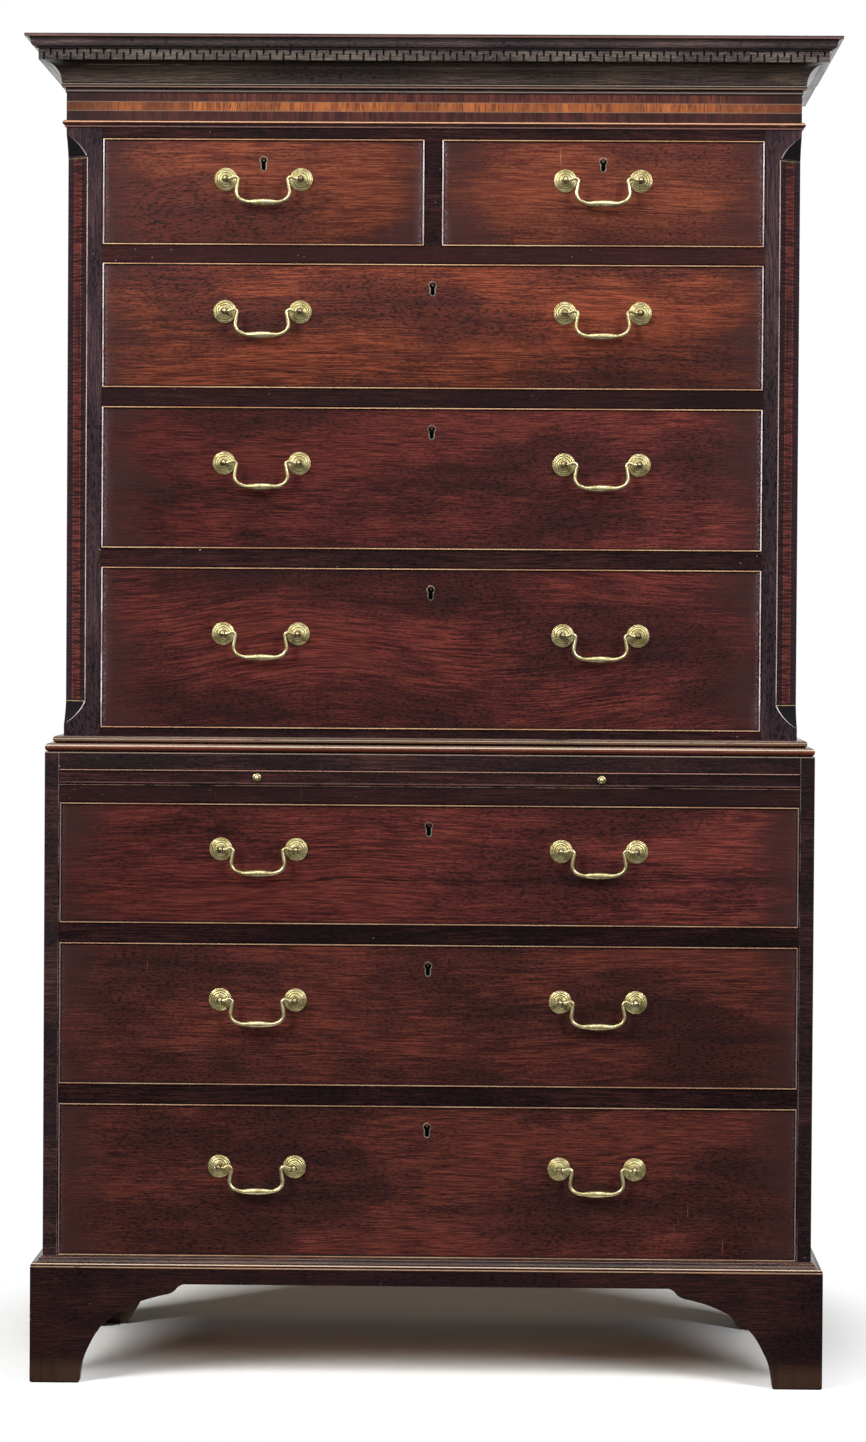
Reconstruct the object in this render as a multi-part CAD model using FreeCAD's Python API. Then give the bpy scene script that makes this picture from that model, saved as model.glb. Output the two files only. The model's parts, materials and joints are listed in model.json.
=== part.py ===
import FreeCAD, Part
import math
import os

# A mahogany chest on chest in two cases: three long drawers and a brushing slide below,
# three long and two short drawers above, on bracket feet and under a fretted cornice.
# Millimetres, +Z up, the front faces -Y, the origin is under the middle of the whole.

V = FreeCAD.Vector

# ------------------------------------------------------------ cases, widths and depths
lower_case_width = 1072.0
lower_case_depth = 560.0
waist_setback = 24.0            # the upper case stands this far in, at the front and sides
side_thickness = 20.0           # side boards of both cases
back_thickness = 12.0
back_board_count = 6
corner_stile = 20.0             # flat front face between an upper drawer and its cant
corner_post_depth = 44.0

# ------------------------------------------------------------ heights, from the floor up
foot_height = 139.0
plinth_rail_height = 20.0
lower_bottom_thickness = 17.0
lower_drawer_3_opening = 215.0
lower_drawer_2_opening = 200.0
lower_drawer_1_opening = 170.0
lower_divider_thickness = 25.0
slide_rail_thickness = 24.0
slide_opening = 22.0
lower_top_thickness = 23.0
waist_moulding_height = 22.0
upper_base_reveal = 11.0        # bottom rail of the upper case above the waist moulding
upper_drawer_3_opening = 227.0
upper_drawer_2_opening = 200.0
upper_drawer_1_opening = 176.0
upper_divider_thickness = 24.0
short_rail_thickness = 23.0
short_drawer_opening = 150.0
upper_top_thickness = 14.0
frieze_bead_height = 8.0
frieze_lower_band = 13.5
frieze_middle_band = 14.0
frieze_upper_band = 12.5
neck_fillet_height = 6.0
neck_bead_height = 7.5
cove_height = 28.5
fret_height = 15.0
crown_fillet_height = 4.5
crown_ogee_height = 15.5
crown_top_height = 4.0

# ------------------------------------------------------------ canted corners
cant_width = 30.0               # taken off the front and off the side
cant_bottom_margin = 38.0       # square foot of the post above the waist moulding's step
cant_top_margin = 10.0
cant_tongue = 32.0              # length of each scooped stop
cant_stop_hollow = 4.8          # how far each scoop bows into the post

# ------------------------------------------------------------ rails and runners
lower_rail_depth = 70.0
runner_overlap = 30.0           # how far a runner reaches under its drawer
dust_board_thickness = 8.0
upper_bottom_thickness = 20.0
guide_height = 20.0
guide_clearance = 1.0
muntin_width = 22.0
centre_runner_width = 60.0
stop_length = 40.0
stop_depth = 12.0
stop_height = 5.0
stop_spacing = 420.0            # from the middle of one stop to the middle of the other
short_stop_spacing = 200.0
stop_clearance = 0.3

# ------------------------------------------------------------ drawers
drawer_side_clearance = 1.0
drawer_top_clearance = 1.0
drawer_running_clearance = 0.3
drawer_rear_gap = 18.0
front_thickness = 22.0
drawer_side_thickness = 10.0
drawer_back_thickness = 10.0
drawer_bottom_thickness = 7.0
drawer_bottom_raise = 8.0       # underside of the bottom above the lower edges of the sides
drawer_side_drop = 4.0          # sides below the top edge of the front
drawer_back_drop = 10.0
bead_thickness = 3.0            # cock beads round each drawer front
bead_seat = 7.0
bead_proud = 2.5

# ------------------------------------------------------------ swan-neck handles
handle_spacing = 474.0          # between the two handles of a long drawer
post_spacing = 105.0
hinge_standoff = 18.0           # bail axis in front of the drawer front
post_head_radius = 4.7
post_neck_radius = 2.7
post_shank_radius = 2.5
shank_clearance = 0.1
nut_radius = 6.5
nut_thickness = 4.0
rose_radius = 15.5
rose_edge = 1.2
rose_step = 2.2
rose_dome = 5.0
pin_radius = 1.7
pin_clearance = 0.05
pin_overrun = 0.8
bail_radius = 2.4
grip_radius = 4.6
grip_half_length = 23.0
bail_drop = 33.0
neck_rise = 2.0                 # the swan neck climbs this far above the axis
neck_reach = 19.0               # from the post's middle to the turn of the neck
leg_half_spacing = 38.5
leg_foot_height = 7.0           # where a leg meets the grip's upward sweep
arm_length = 3.0                # straight end of the neck beside the post's head
grip_bend_radius = 25.0
leg_bend_radius = 12.0
neck_bend_radius = 4.2
arm_bend_radius = 3.0
bail_end_gap = 0.3

# Handle axis below the top of each drawer opening
short_post_drop = 58.0
upper_1_post_drop = 69.0
upper_2_post_drop = 80.0
upper_3_post_drop = 94.0
lower_1_post_drop = 65.0
lower_2_post_drop = 80.0
lower_3_post_drop = 88.0

# ------------------------------------------------------------ locks
keyhole_drop = 31.0             # middle of the key barrel's hole below the opening
escutcheon_radius = 6.0
escutcheon_wall = 2.2
escutcheon_length = 11.0        # from the round hole's middle to the middle of the foot
escutcheon_foot_radius = 4.4
escutcheon_depth = 3.0
escutcheon_proud = 0.4
lock_width = 56.0
lock_height = 52.0
lock_face_depth = 9.0           # wood left in front of the lock
lock_wall = 2.5
key_recess_depth = 6.0
drill_pin_radius = 1.2
bolt_width = 22.0
bolt_thickness = 5.0
bolt_height = 14.0
bolt_clearance = 0.2
bolt_travel = 9.0
mortise_clearance = 1.0

# ------------------------------------------------------------ brushing slide
slide_thickness = 20.5
slide_depth = 480.0
slide_clearance = 1.0
slide_running_clearance = 0.5
slide_edge_depth = 14.0
slide_bead_radius = 2.0
slide_clamp_width = 70.0
knob_spacing = 480.0
knob_flange_radius = 6.0
knob_flange_thickness = 1.6
knob_neck_radius = 2.6
knob_ball_radius = 4.6
knob_reach = 11.0
knob_shank_radius = 2.0
knob_shank_length = 10.0

# ------------------------------------------------------------ mouldings
base_projection = 16.0
base_step = 5.0
base_fillet = 4.0
waist_roll_height = 12.0
waist_step = 10.0
waist_clearance = 0.3
frieze_bead_projection = 5.3
veneer_thickness = 1.0
frieze_board_thickness = 20.0
neck_fillet_projection = 1.5
neck_bead_projection = 7.0
cove_projection = 33.0
fret_backing_projection = 33.0
fret_thickness = 3.0
fret_pitch = 18.35
fret_slot_width = 3.0
fret_upper_slot = 8.0
fret_lower_slot = 10.0
crown_fillet_projection = 39.5
crown_projection = 54.0
cornice_board_thickness = 20.0
cornice_block = 40.0

# ------------------------------------------------------------ bracket feet
foot_thickness = 22.0
foot_width = 69.0
foot_curve_radius = 127.0
foot_cusp_width = 18.0
rear_foot_length = 150.0
glue_block = 40.0
glue_block_lift = 6.0
plinth_rail_width = 70.0

# ------------------------------------------------------------ levels and planes that follow
lower_half = lower_case_width / 2
upper_half = lower_half - waist_setback
lower_opening_half = lower_half - side_thickness
upper_opening_half = upper_half - cant_width - corner_stile
upper_inner_half = upper_half - side_thickness

front_reach = max(crown_projection - waist_setback, hinge_standoff + post_head_radius,
                  hinge_standoff + grip_radius, base_projection)
back_y = (lower_case_depth + front_reach) / 2
lower_front = back_y - lower_case_depth
upper_front = lower_front + waist_setback
inner_back = back_y - back_thickness

case_base = foot_height + plinth_rail_height
lower_3_floor = case_base + lower_bottom_thickness
lower_2_floor = lower_3_floor + lower_drawer_3_opening + lower_divider_thickness
lower_1_floor = lower_2_floor + lower_drawer_2_opening + lower_divider_thickness
slide_rail_floor = lower_1_floor + lower_drawer_1_opening
slide_floor = slide_rail_floor + slide_rail_thickness
lower_top_floor = slide_floor + slide_opening
waist = lower_top_floor + lower_top_thickness
waist_top = waist + waist_moulding_height
upper_3_floor = waist_top + upper_base_reveal
upper_2_floor = upper_3_floor + upper_drawer_3_opening + upper_divider_thickness
upper_1_floor = upper_2_floor + upper_drawer_2_opening + upper_divider_thickness
short_rail_floor = upper_1_floor + upper_drawer_1_opening
short_floor = short_rail_floor + short_rail_thickness
upper_top_floor = short_floor + short_drawer_opening
frieze_floor = upper_top_floor + upper_top_thickness
frieze_bands_floor = frieze_floor + frieze_bead_height
frieze_bands_height = frieze_lower_band + frieze_middle_band + frieze_upper_band
cornice_floor = frieze_bands_floor + frieze_bands_height
cove_floor = cornice_floor + neck_fillet_height + neck_bead_height
fret_floor = cove_floor + cove_height
crown_floor = fret_floor + fret_height
crown_height = crown_fillet_height + crown_ogee_height + crown_top_height
overall_height = crown_floor + crown_height


class Drawer:
    """One drawer: the opening that it fills, and where its handles and lock sit."""

    def __init__(self, name, low_x, high_x, floor, opening, front, post_drop, handle_xs):
        self.name = name
        self.low_x = low_x + drawer_side_clearance
        self.high_x = high_x - drawer_side_clearance
        self.low_z = floor + drawer_running_clearance
        self.high_z = floor + opening - drawer_top_clearance
        self.front = front
        self.rear = inner_back - drawer_rear_gap
        self.axis_z = floor + opening - post_drop
        self.key_z = floor + opening - keyhole_drop
        self.middle = (low_x + high_x) / 2
        self.handle_xs = handle_xs

    def axis_y(self):
        return self.front - hinge_standoff

    def bail_names(self):
        if len(self.handle_xs) == 1:
            return [self.name + "_bail"]
        return [self.name + "_bail_left", self.name + "_bail_right"]


def long_drawer(name, half, floor, opening, front, post_drop):
    handles = [-handle_spacing / 2, handle_spacing / 2]
    return Drawer(name, -half, half, floor, opening, front, post_drop, handles)


def short_drawer(name, low_x, high_x):
    middle = (low_x + high_x) / 2
    return Drawer(name, low_x, high_x, short_floor, short_drawer_opening, upper_front,
                  short_post_drop, [middle])


short_drawers = [
    short_drawer("short_drawer_left", -upper_opening_half, -muntin_width / 2),
    short_drawer("short_drawer_right", muntin_width / 2, upper_opening_half),
]
upper_drawers = [
    long_drawer("upper_drawer_1", upper_opening_half, upper_1_floor, upper_drawer_1_opening,
                upper_front, upper_1_post_drop),
    long_drawer("upper_drawer_2", upper_opening_half, upper_2_floor, upper_drawer_2_opening,
                upper_front, upper_2_post_drop),
    long_drawer("upper_drawer_3", upper_opening_half, upper_3_floor, upper_drawer_3_opening,
                upper_front, upper_3_post_drop),
]
lower_drawers = [
    long_drawer("lower_drawer_1", lower_opening_half, lower_1_floor, lower_drawer_1_opening,
                lower_front, lower_1_post_drop),
    long_drawer("lower_drawer_2", lower_opening_half, lower_2_floor, lower_drawer_2_opening,
                lower_front, lower_2_post_drop),
    long_drawer("lower_drawer_3", lower_opening_half, lower_3_floor, lower_drawer_3_opening,
                lower_front, lower_3_post_drop),
]
all_drawers = short_drawers + upper_drawers + lower_drawers


# ------------------------------------------------------------ solid helpers
def block(x, y, z):
    """A box from three (low, high) pairs."""
    size = [abs(pair[1] - pair[0]) for pair in (x, y, z)]
    corner = V(min(x), min(y), min(z))
    return Part.makeBox(size[0], size[1], size[2], corner)


def mirrored(solid):
    """The same piece on the other side of the chest."""
    return solid.mirror(V(0, 0, 0), V(1, 0, 0))


def both_sides(solid):
    return [solid, mirrored(solid)]


def cut_all(solid, tools):
    """The solid less every tool."""
    for tool in tools:
        solid = solid.cut(tool)
    return solid


def outline(points, place):
    """A closed wire through (u, v) points; a point pair makes an arc through the first to
    the second. place turns (u, v) into a point in space."""
    edges = []
    here = place(*points[0])
    for step in points[1:] + [points[0]]:
        if isinstance(step[0], tuple):
            there = place(*step[1])
            edges.append(Part.Arc(here, place(*step[0]), there).toShape())
        else:
            there = place(*step)
            if here.distanceToPoint(there) < 1e-6:
                continue
            edges.append(Part.LineSegment(here, there).toShape())
        here = there
    return Part.Wire(edges)


def prism(points, place, direction):
    """A flat outline swept along a straight direction."""
    return Part.Face(outline(points, place)).extrude(direction)


def plan_prism(points, low_z, high_z):
    """A plan outline standing between two levels."""
    return prism(points, lambda x, y: V(x, y, low_z), V(0, 0, high_z - low_z))


def turned(points, centre):
    """A piece turned about an axis that leaves the front: points are (radius, outward)."""
    wire = outline(points, lambda radius, out: centre + V(radius, -out, 0))
    return Part.Face(wire).revolve(centre, V(0, 1, 0), 360)


def save(node, solids):
    Part.makeCompound(solids).exportStep("parts/" + node + ".step")


# ------------------------------------------------------------ mitred runs round three sides
def mitre_wedges(half, front, inward, outward, low_z, high_z):
    """Plan wedges that part a front run from its two side runs at 45 degrees."""
    front_plan = [(-half - outward, front - outward), (half + outward, front - outward),
                  (half - inward, front + inward), (-half + inward, front + inward)]
    side_plan = [(half + outward, front - outward), (half + outward, back_y),
                 (half - inward, back_y), (half - inward, front + inward)]
    side = plan_prism(side_plan, low_z, high_z)
    return plan_prism(front_plan, low_z, high_z), side, mirrored(side)


def mitred_runs(section, half, front, low_z):
    """A moulding along the front and both sides of a case, mitred at the corners.
    section is its outline in (outward from the case, upward from low_z)."""
    reached = []
    for step in section:
        reached += list(step) if isinstance(step[0], tuple) else [step]
    outward = max(point[0] for point in reached)
    inward = max(0.0, -min(point[0] for point in reached))
    high_z = low_z + max(point[1] for point in reached)
    front_wedge, right_wedge, left_wedge = mitre_wedges(half, front, inward, outward,
                                                        low_z, high_z)
    reach = half + outward
    along_front = prism(section, lambda out, up: V(-reach, front - out, low_z + up),
                        V(2 * reach, 0, 0))
    start = front - outward
    along_side = prism(section, lambda out, up: V(half + out, start, low_z + up),
                       V(0, back_y - start, 0))
    return [along_front.common(front_wedge), along_side.common(right_wedge),
            mirrored(along_side).common(left_wedge)]


def board_section(inner, outer, height):
    """The rectangle of a plain board, from inner to outer and upward."""
    return [(inner, 0.0), (outer, 0.0), (outer, height), (inner, height)]


# ------------------------------------------------------------ lower case
def lower_case_carcase():
    side = block((lower_opening_half, lower_half), (lower_front, back_y), (case_base, waist))
    across = (-lower_opening_half, lower_opening_half)
    deep = (lower_front, inner_back)
    bottom = block(across, deep, (case_base, lower_3_floor))
    top = block(across, deep, (lower_top_floor, waist))
    return both_sides(side) + [bottom, top]


def back_boards(half, low_z, high_z):
    """Upright back boards, edge to edge between the sides."""
    width = 2 * half / back_board_count
    boards = []
    for index in range(back_board_count):
        left = -half + index * width
        boards.append(block((left, left + width), (inner_back, back_y), (low_z, high_z)))
    return boards


def bolt_depths(front, clearance):
    """Low and high Y of a lock bolt, or of its mortise when given a clearance."""
    near = front + lock_face_depth + lock_wall
    return near - clearance, near + bolt_thickness + clearance


def bolt_mortise(drawer, rail_floor):
    """The slot in the rail above a drawer that its bolt rises into."""
    half = bolt_width / 2 + mortise_clearance
    return block((drawer.middle - half, drawer.middle + half),
                 bolt_depths(drawer.front, mortise_clearance),
                 (rail_floor, rail_floor + bolt_travel + mortise_clearance))


def divider(low_z, thickness, opening_half, inner_half, front, rail_depth, locked):
    """A front rail, two runners behind it and a dust board between them."""
    high_z = low_z + thickness
    rail = block((-opening_half, opening_half), (front, front + rail_depth), (low_z, high_z))
    rail = cut_all(rail, [bolt_mortise(drawer, low_z) for drawer in locked])
    deep = (front + rail_depth, inner_back)
    inside = opening_half - runner_overlap
    runner = block((inside, inner_half), deep, (low_z, high_z))
    middle = (low_z + high_z) / 2
    levels = (middle - dust_board_thickness / 2, middle + dust_board_thickness / 2)
    return [rail] + both_sides(runner), (inside, deep, levels)


def plain_divider(*sizes):
    solids, (inside, deep, levels) = divider(*sizes)
    return solids + [block((-inside, inside), deep, levels)]


def drawer_stops(drawer, floor, spacing):
    """Two small blocks that the back of a drawer front comes to rest against."""
    near = drawer.front + front_thickness + stop_clearance
    stops = []
    for middle in (drawer.middle - spacing / 2, drawer.middle + spacing / 2):
        stops.append(block((middle - stop_length / 2, middle + stop_length / 2),
                           (near, near + stop_depth), (floor, floor + stop_height)))
    return stops


def floor_of(drawer):
    return drawer.low_z - drawer_running_clearance


def lower_case_rails():
    top, middle, bottom = lower_drawers
    sizes = (lower_opening_half, lower_opening_half, lower_front, lower_rail_depth)
    solids = plain_divider(slide_rail_floor, slide_rail_thickness, *sizes, [top])
    solids += plain_divider(lower_1_floor - lower_divider_thickness, lower_divider_thickness,
                            *sizes, [middle])
    solids += plain_divider(lower_2_floor - lower_divider_thickness, lower_divider_thickness,
                            *sizes, [bottom])
    for drawer in lower_drawers:
        solids += drawer_stops(drawer, floor_of(drawer), stop_spacing)
    return solids


def waist_moulding():
    """A bold roll flush with the lower case and a smaller one stepped in above it."""
    inner = -waist_setback + waist_clearance
    roll = waist_roll_height / 2
    upper = (waist_moulding_height - waist_roll_height) / 2
    step = -waist_step
    section = [(inner, 0.0), (-roll, 0.0), ((0.0, roll), (-roll, waist_roll_height)),
               (step - upper, waist_roll_height),
               ((step, waist_roll_height + upper), (step - upper, waist_moulding_height)),
               (inner, waist_moulding_height)]
    return mitred_runs(section, lower_half, lower_front, waist)


def base_moulding():
    """A fillet, an ogee and a small top step down to the plinth."""
    height = lower_bottom_thickness
    hollow_top = (base_step, height - base_step / 2)
    middle = ((base_projection + base_step) / 2, (base_fillet + hollow_top[1]) / 2)
    swell = ((base_projection + middle[0]) / 2 + 1.0, (base_fillet + middle[1]) / 2 + 1.0)
    hollow = ((base_step + middle[0]) / 2 - 1.0, (hollow_top[1] + middle[1]) / 2 - 1.0)
    section = [(0.0, 0.0), (base_projection, 0.0), (base_projection, base_fillet),
               (swell, middle), (hollow, hollow_top), (base_step / 2, hollow_top[1]),
               (base_step / 2, height), (0.0, height)]
    return mitred_runs(section, lower_half, lower_front, case_base)


# ------------------------------------------------------------ plinth and bracket feet
def bracket_points():
    """The shaped bracket: (along from the corner, up), a quarter round and a cusp."""
    curve_end = foot_width + foot_curve_radius
    rise = foot_height - foot_curve_radius
    turn = foot_curve_radius * math.cos(math.pi / 4)
    return [(0.0, 0.0), (foot_width, 0.0),
            ((curve_end - turn, turn), (curve_end, foot_curve_radius)),
            ((curve_end + foot_cusp_width * 0.7, foot_height - rise * 0.7),
             (curve_end + foot_cusp_width, foot_height)),
            (0.0, foot_height)]


def front_brackets():
    """Front and side brackets of the two front feet, mitred at the corner."""
    corner_x = lower_half + base_projection
    corner_y = lower_front - base_projection
    inward = foot_thickness - base_projection
    front_wedge, right_wedge, left_wedge = mitre_wedges(
        lower_half, lower_front, inward, base_projection, 0.0, foot_height)
    facing = prism(bracket_points(), lambda along, up: V(corner_x - along, corner_y, up),
                   V(0, foot_thickness, 0))
    flank = prism(bracket_points(), lambda along, up: V(corner_x, corner_y + along, up),
                  V(-foot_thickness, 0, 0))
    return both_sides(facing.common(front_wedge)) + both_sides(flank.common(right_wedge))


def rear_brackets():
    """Side brackets of the rear feet, and the plain sloped boards that back them."""
    corner_x = lower_half + base_projection
    flank = prism(bracket_points(), lambda along, up: V(corner_x, back_y - along, up),
                  V(-foot_thickness, 0, 0))
    inner_x = corner_x - foot_thickness
    slope = [(inner_x, 0.0), (inner_x - foot_width, 0.0),
             (inner_x - rear_foot_length, foot_height), (inner_x, foot_height)]
    board = prism(slope, lambda x, up: V(x, back_y - foot_thickness, up),
                  V(0, foot_thickness, 0))
    return both_sides(flank) + both_sides(board)


def foot_blocks():
    """Square glue blocks in the corner of each foot."""
    high_x = lower_half + base_projection - foot_thickness
    levels = (glue_block_lift, foot_height)
    near = lower_front - base_projection + foot_thickness
    far = back_y - foot_thickness
    front = block((high_x - glue_block, high_x), (near, near + glue_block), levels)
    rear = block((high_x - glue_block, high_x), (far - glue_block, far), levels)
    return both_sides(front) + both_sides(rear)


def plinth_rails():
    """The flat frame that the lower case stands on."""
    inner = base_projection - plinth_rail_width
    rails = mitred_runs(board_section(inner, base_projection, plinth_rail_height),
                        lower_half, lower_front, foot_height)
    half = lower_half + inner
    rails.append(block((-half, half), (back_y - plinth_rail_width, back_y),
                       (foot_height, case_base)))
    return rails


def bracket_feet():
    return front_brackets() + rear_brackets() + foot_blocks() + plinth_rails()


# ------------------------------------------------------------ upper case
def upper_case_carcase():
    behind = upper_front + corner_post_depth
    side = block((upper_inner_half, upper_half), (behind, back_y), (waist, frieze_floor))
    across = (-upper_inner_half, upper_inner_half)
    bottom = block(across, (behind, inner_back),
                   (upper_3_floor - upper_bottom_thickness, upper_3_floor))
    top = block(across, (behind, inner_back), (upper_top_floor, frieze_floor))
    return both_sides(side) + [bottom, top]


def drawer_guides(floor):
    """Strips along the case sides that keep a drawer running straight."""
    inner = upper_opening_half - drawer_side_clearance + guide_clearance
    strip = block((inner, upper_inner_half), (upper_front + corner_post_depth, inner_back),
                  (floor, floor + guide_height))
    return both_sides(strip)


def short_drawer_divider():
    """The rail under the two short drawers, with its centre runner, guide and muntin."""
    behind = upper_front + corner_post_depth
    solids, (inside, deep, levels) = divider(
        short_rail_floor, short_rail_thickness, upper_opening_half, upper_inner_half,
        upper_front, corner_post_depth, [upper_drawers[0]])
    half = centre_runner_width / 2
    solids.append(block((-half, half), deep, (short_rail_floor, short_floor)))
    solids += both_sides(block((half, inside), deep, levels))
    across = (-muntin_width / 2, muntin_width / 2)
    solids.append(block(across, (upper_front, behind), (short_floor, upper_top_floor)))
    solids.append(block(across, deep, (short_floor, short_floor + guide_height)))
    return solids


def upper_case_rails():
    top, middle, bottom = upper_drawers
    across = (-upper_opening_half, upper_opening_half)
    shelf = (upper_front, upper_front + corner_post_depth)
    sizes = (upper_opening_half, upper_inner_half, upper_front, corner_post_depth)
    top_rail = block(across, shelf, (upper_top_floor, frieze_floor))
    mortises = [bolt_mortise(drawer, upper_top_floor) for drawer in short_drawers]
    solids = [block(across, shelf, (waist, upper_3_floor)), cut_all(top_rail, mortises)]
    solids += short_drawer_divider()
    solids += plain_divider(upper_1_floor - upper_divider_thickness, upper_divider_thickness,
                            *sizes, [middle])
    solids += plain_divider(upper_2_floor - upper_divider_thickness, upper_divider_thickness,
                            *sizes, [bottom])
    for floor in (upper_3_floor, upper_2_floor, upper_1_floor, short_floor):
        solids += drawer_guides(floor)
    for drawer in upper_drawers:
        solids += drawer_stops(drawer, floor_of(drawer), stop_spacing)
    for drawer in short_drawers:
        solids += drawer_stops(drawer, floor_of(drawer), short_stop_spacing)
    return solids


def canted_corners():
    """Front corner posts, chamfered at 45 degrees between scooped stops."""
    post = block((upper_opening_half, upper_half),
                 (upper_front, upper_front + corner_post_depth), (waist, frieze_floor))
    depth = cant_width / math.sqrt(2)
    low = waist + cant_bottom_margin
    high = frieze_floor - cant_top_margin
    half = cant_tongue / 2
    beyond = -cant_width
    # (depth below the corner's edge, height) of what the chamfer takes away
    waste = [(beyond, low), (0.0, low),
             ((depth / 2, low + half - cant_stop_hollow), (depth, low + cant_tongue)),
             (depth, high - cant_tongue),
             ((depth / 2, high - half + cant_stop_hollow), (0.0, high)), (beyond, high)]
    edge = V(upper_half, upper_front, 0)
    inward = V(-1, 1, 0).normalize()
    along = V(1, 1, 0).normalize()
    reach = 2 * cant_width
    tool = prism(waste, lambda deep, up: edge + inward * deep - along * reach + V(0, 0, up),
                 along * (2 * reach))
    return both_sides(post.cut(tool))


# ------------------------------------------------------------ frieze and cornice
def frieze():
    """A hollow frame with three veneer bands and a bead at its foot."""
    depth = frieze_board_thickness + veneer_thickness
    height = frieze_bead_height + frieze_bands_height
    solids = mitred_runs(board_section(-depth, -veneer_thickness, height),
                         upper_half, upper_front, frieze_floor)
    half = upper_half - depth
    solids.append(block((-half, half), (back_y - frieze_board_thickness, back_y),
                        (frieze_floor, frieze_floor + height)))
    roll = frieze_bead_height / 2
    nose = frieze_bead_projection - roll
    bead = [(-veneer_thickness, 0.0), (nose, 0.0),
            ((frieze_bead_projection, roll), (nose, frieze_bead_height)),
            (-veneer_thickness, frieze_bead_height)]
    solids += mitred_runs(bead, upper_half, upper_front, frieze_floor)
    level = frieze_bands_floor
    for band in (frieze_lower_band, frieze_middle_band, frieze_upper_band):
        solids += mitred_runs(board_section(-veneer_thickness, 0.0, band),
                              upper_half, upper_front, level)
        level += band
    return solids


def cornice_frame():
    """The boards that carry the cornice mouldings, with blocks in their corners."""
    thickness = cornice_board_thickness
    height = overall_height - crown_top_height - cornice_floor
    solids = mitred_runs(board_section(-thickness, 0.0, height),
                         upper_half, upper_front, cornice_floor)
    half = upper_half - thickness
    levels = (cornice_floor, cornice_floor + height)
    solids.append(block((-half, half), (back_y - thickness, back_y), levels))
    corner = (half - cornice_block, half)
    near = upper_front + thickness
    far = back_y - thickness
    solids += both_sides(block(corner, (near, near + cornice_block), levels))
    solids += both_sides(block(corner, (far - cornice_block, far), levels))
    return solids


def neck_moulding():
    """A flat fillet under a half-round astragal."""
    total = neck_fillet_height + neck_bead_height
    roll = neck_bead_height / 2
    nose = neck_bead_projection - roll
    section = [(0.0, 0.0), (neck_fillet_projection, 0.0),
               (neck_fillet_projection, neck_fillet_height), (nose, neck_fillet_height),
               ((neck_bead_projection, neck_fillet_height + roll), (nose, total)), (0.0, total)]
    return mitred_runs(section, upper_half, upper_front, cornice_floor)


def cove_moulding():
    """The deep hollow under the fret."""
    start = neck_bead_projection - 0.5
    end = cove_projection
    turn = math.cos(math.pi / 4)
    middle = (end - (end - start) * turn, cove_height * turn)
    section = [(0.0, 0.0), (start, 0.0), (middle, (end, cove_height)), (0.0, cove_height)]
    return mitred_runs(section, upper_half, upper_front, cove_floor)


def fret_points(length):
    """The fret's outline, (along, up): slots open upward and downward in turn."""
    count = max(2, round(length / fret_pitch))
    pitch = length / count
    half_slot = fret_slot_width / 2
    lower = [(0.0, 0.0)]
    upper = []
    for index in range(count):
        middle = (index + 0.25) * pitch
        lower += [(middle - half_slot, 0.0), (middle - half_slot, fret_lower_slot),
                  (middle + half_slot, fret_lower_slot), (middle + half_slot, 0.0)]
        middle = (index + 0.75) * pitch
        foot = fret_height - fret_upper_slot
        upper += [(middle - half_slot, fret_height), (middle - half_slot, foot),
                  (middle + half_slot, foot), (middle + half_slot, fret_height)]
    return lower + [(length, 0.0), (length, fret_height)] + upper[::-1] + [(0.0, fret_height)]


def fret():
    """The Greek-key fret along the front and sides, on its plain backing."""
    solids = mitred_runs(board_section(0.0, fret_backing_projection, fret_height),
                         upper_half, upper_front, fret_floor)
    inner = fret_backing_projection
    outer = inner + fret_thickness
    half = upper_half + inner
    near = upper_front - inner
    facing = prism(fret_points(2 * half), lambda x, up: V(x - half, near, fret_floor + up),
                   V(0, -fret_thickness, 0))
    flank = prism(fret_points(back_y - near), lambda y, up: V(half, near + y, fret_floor + up),
                  V(fret_thickness, 0, 0))
    corner = block((half, upper_half + outer), (near, near - fret_thickness),
                   (fret_floor, crown_floor))
    return solids + [facing] + both_sides(flank) + both_sides(corner)


def crown_moulding():
    """A fillet, a swept ogee and the top fillet."""
    low = crown_fillet_height
    high = low + crown_ogee_height
    start = crown_fillet_projection
    end = crown_projection - 1.5
    middle = ((start + end) / 2, (low + high) / 2)
    swell = ((start + middle[0]) / 2 + 1.4, (low + middle[1]) / 2 - 1.4)
    hollow = ((end + middle[0]) / 2 - 1.4, (high + middle[1]) / 2 + 1.4)
    section = [(0.0, 0.0), (start, 0.0), (start, low), (swell, middle), (hollow, (end, high)),
               (crown_projection, high), (crown_projection, crown_height),
               (0.0, crown_height)]
    return mitred_runs(section, upper_half, upper_front, crown_floor)


def cornice():
    return cornice_frame() + neck_moulding() + cove_moulding() + fret() + crown_moulding()


# ------------------------------------------------------------ drawer fronts and boxes
def keyhole(x, z, near, far, margin):
    """The keyhole's shape from near to far, this margin inside the escutcheon's edge."""
    radius = escutcheon_radius - margin
    foot = escutcheon_foot_radius - margin
    direction = V(0, 1, 0)
    length = far - near
    barrel = Part.makeCylinder(radius, length, V(x, near, z), direction)
    toe_z = z - escutcheon_length
    toe = Part.makeCylinder(foot, length, V(x, near, toe_z), direction)
    slot = block((x - foot, x + foot), (near, far), (toe_z, z))
    return barrel.fuse([slot, toe]).removeSplitter()


def lock_space(drawer):
    """The mortise in the back of a drawer front that its lock fills."""
    return block((drawer.middle - lock_width / 2, drawer.middle + lock_width / 2),
                 (drawer.front + lock_face_depth, drawer.front + front_thickness),
                 (drawer.high_z - lock_height, drawer.high_z))


def post_places(drawer):
    """Where the posts of a drawer's handles stand."""
    places = []
    for handle in drawer.handle_xs:
        for side in (-1, 1):
            places.append(V(handle + side * post_spacing / 2, drawer.front, drawer.axis_z))
    return places


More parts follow.
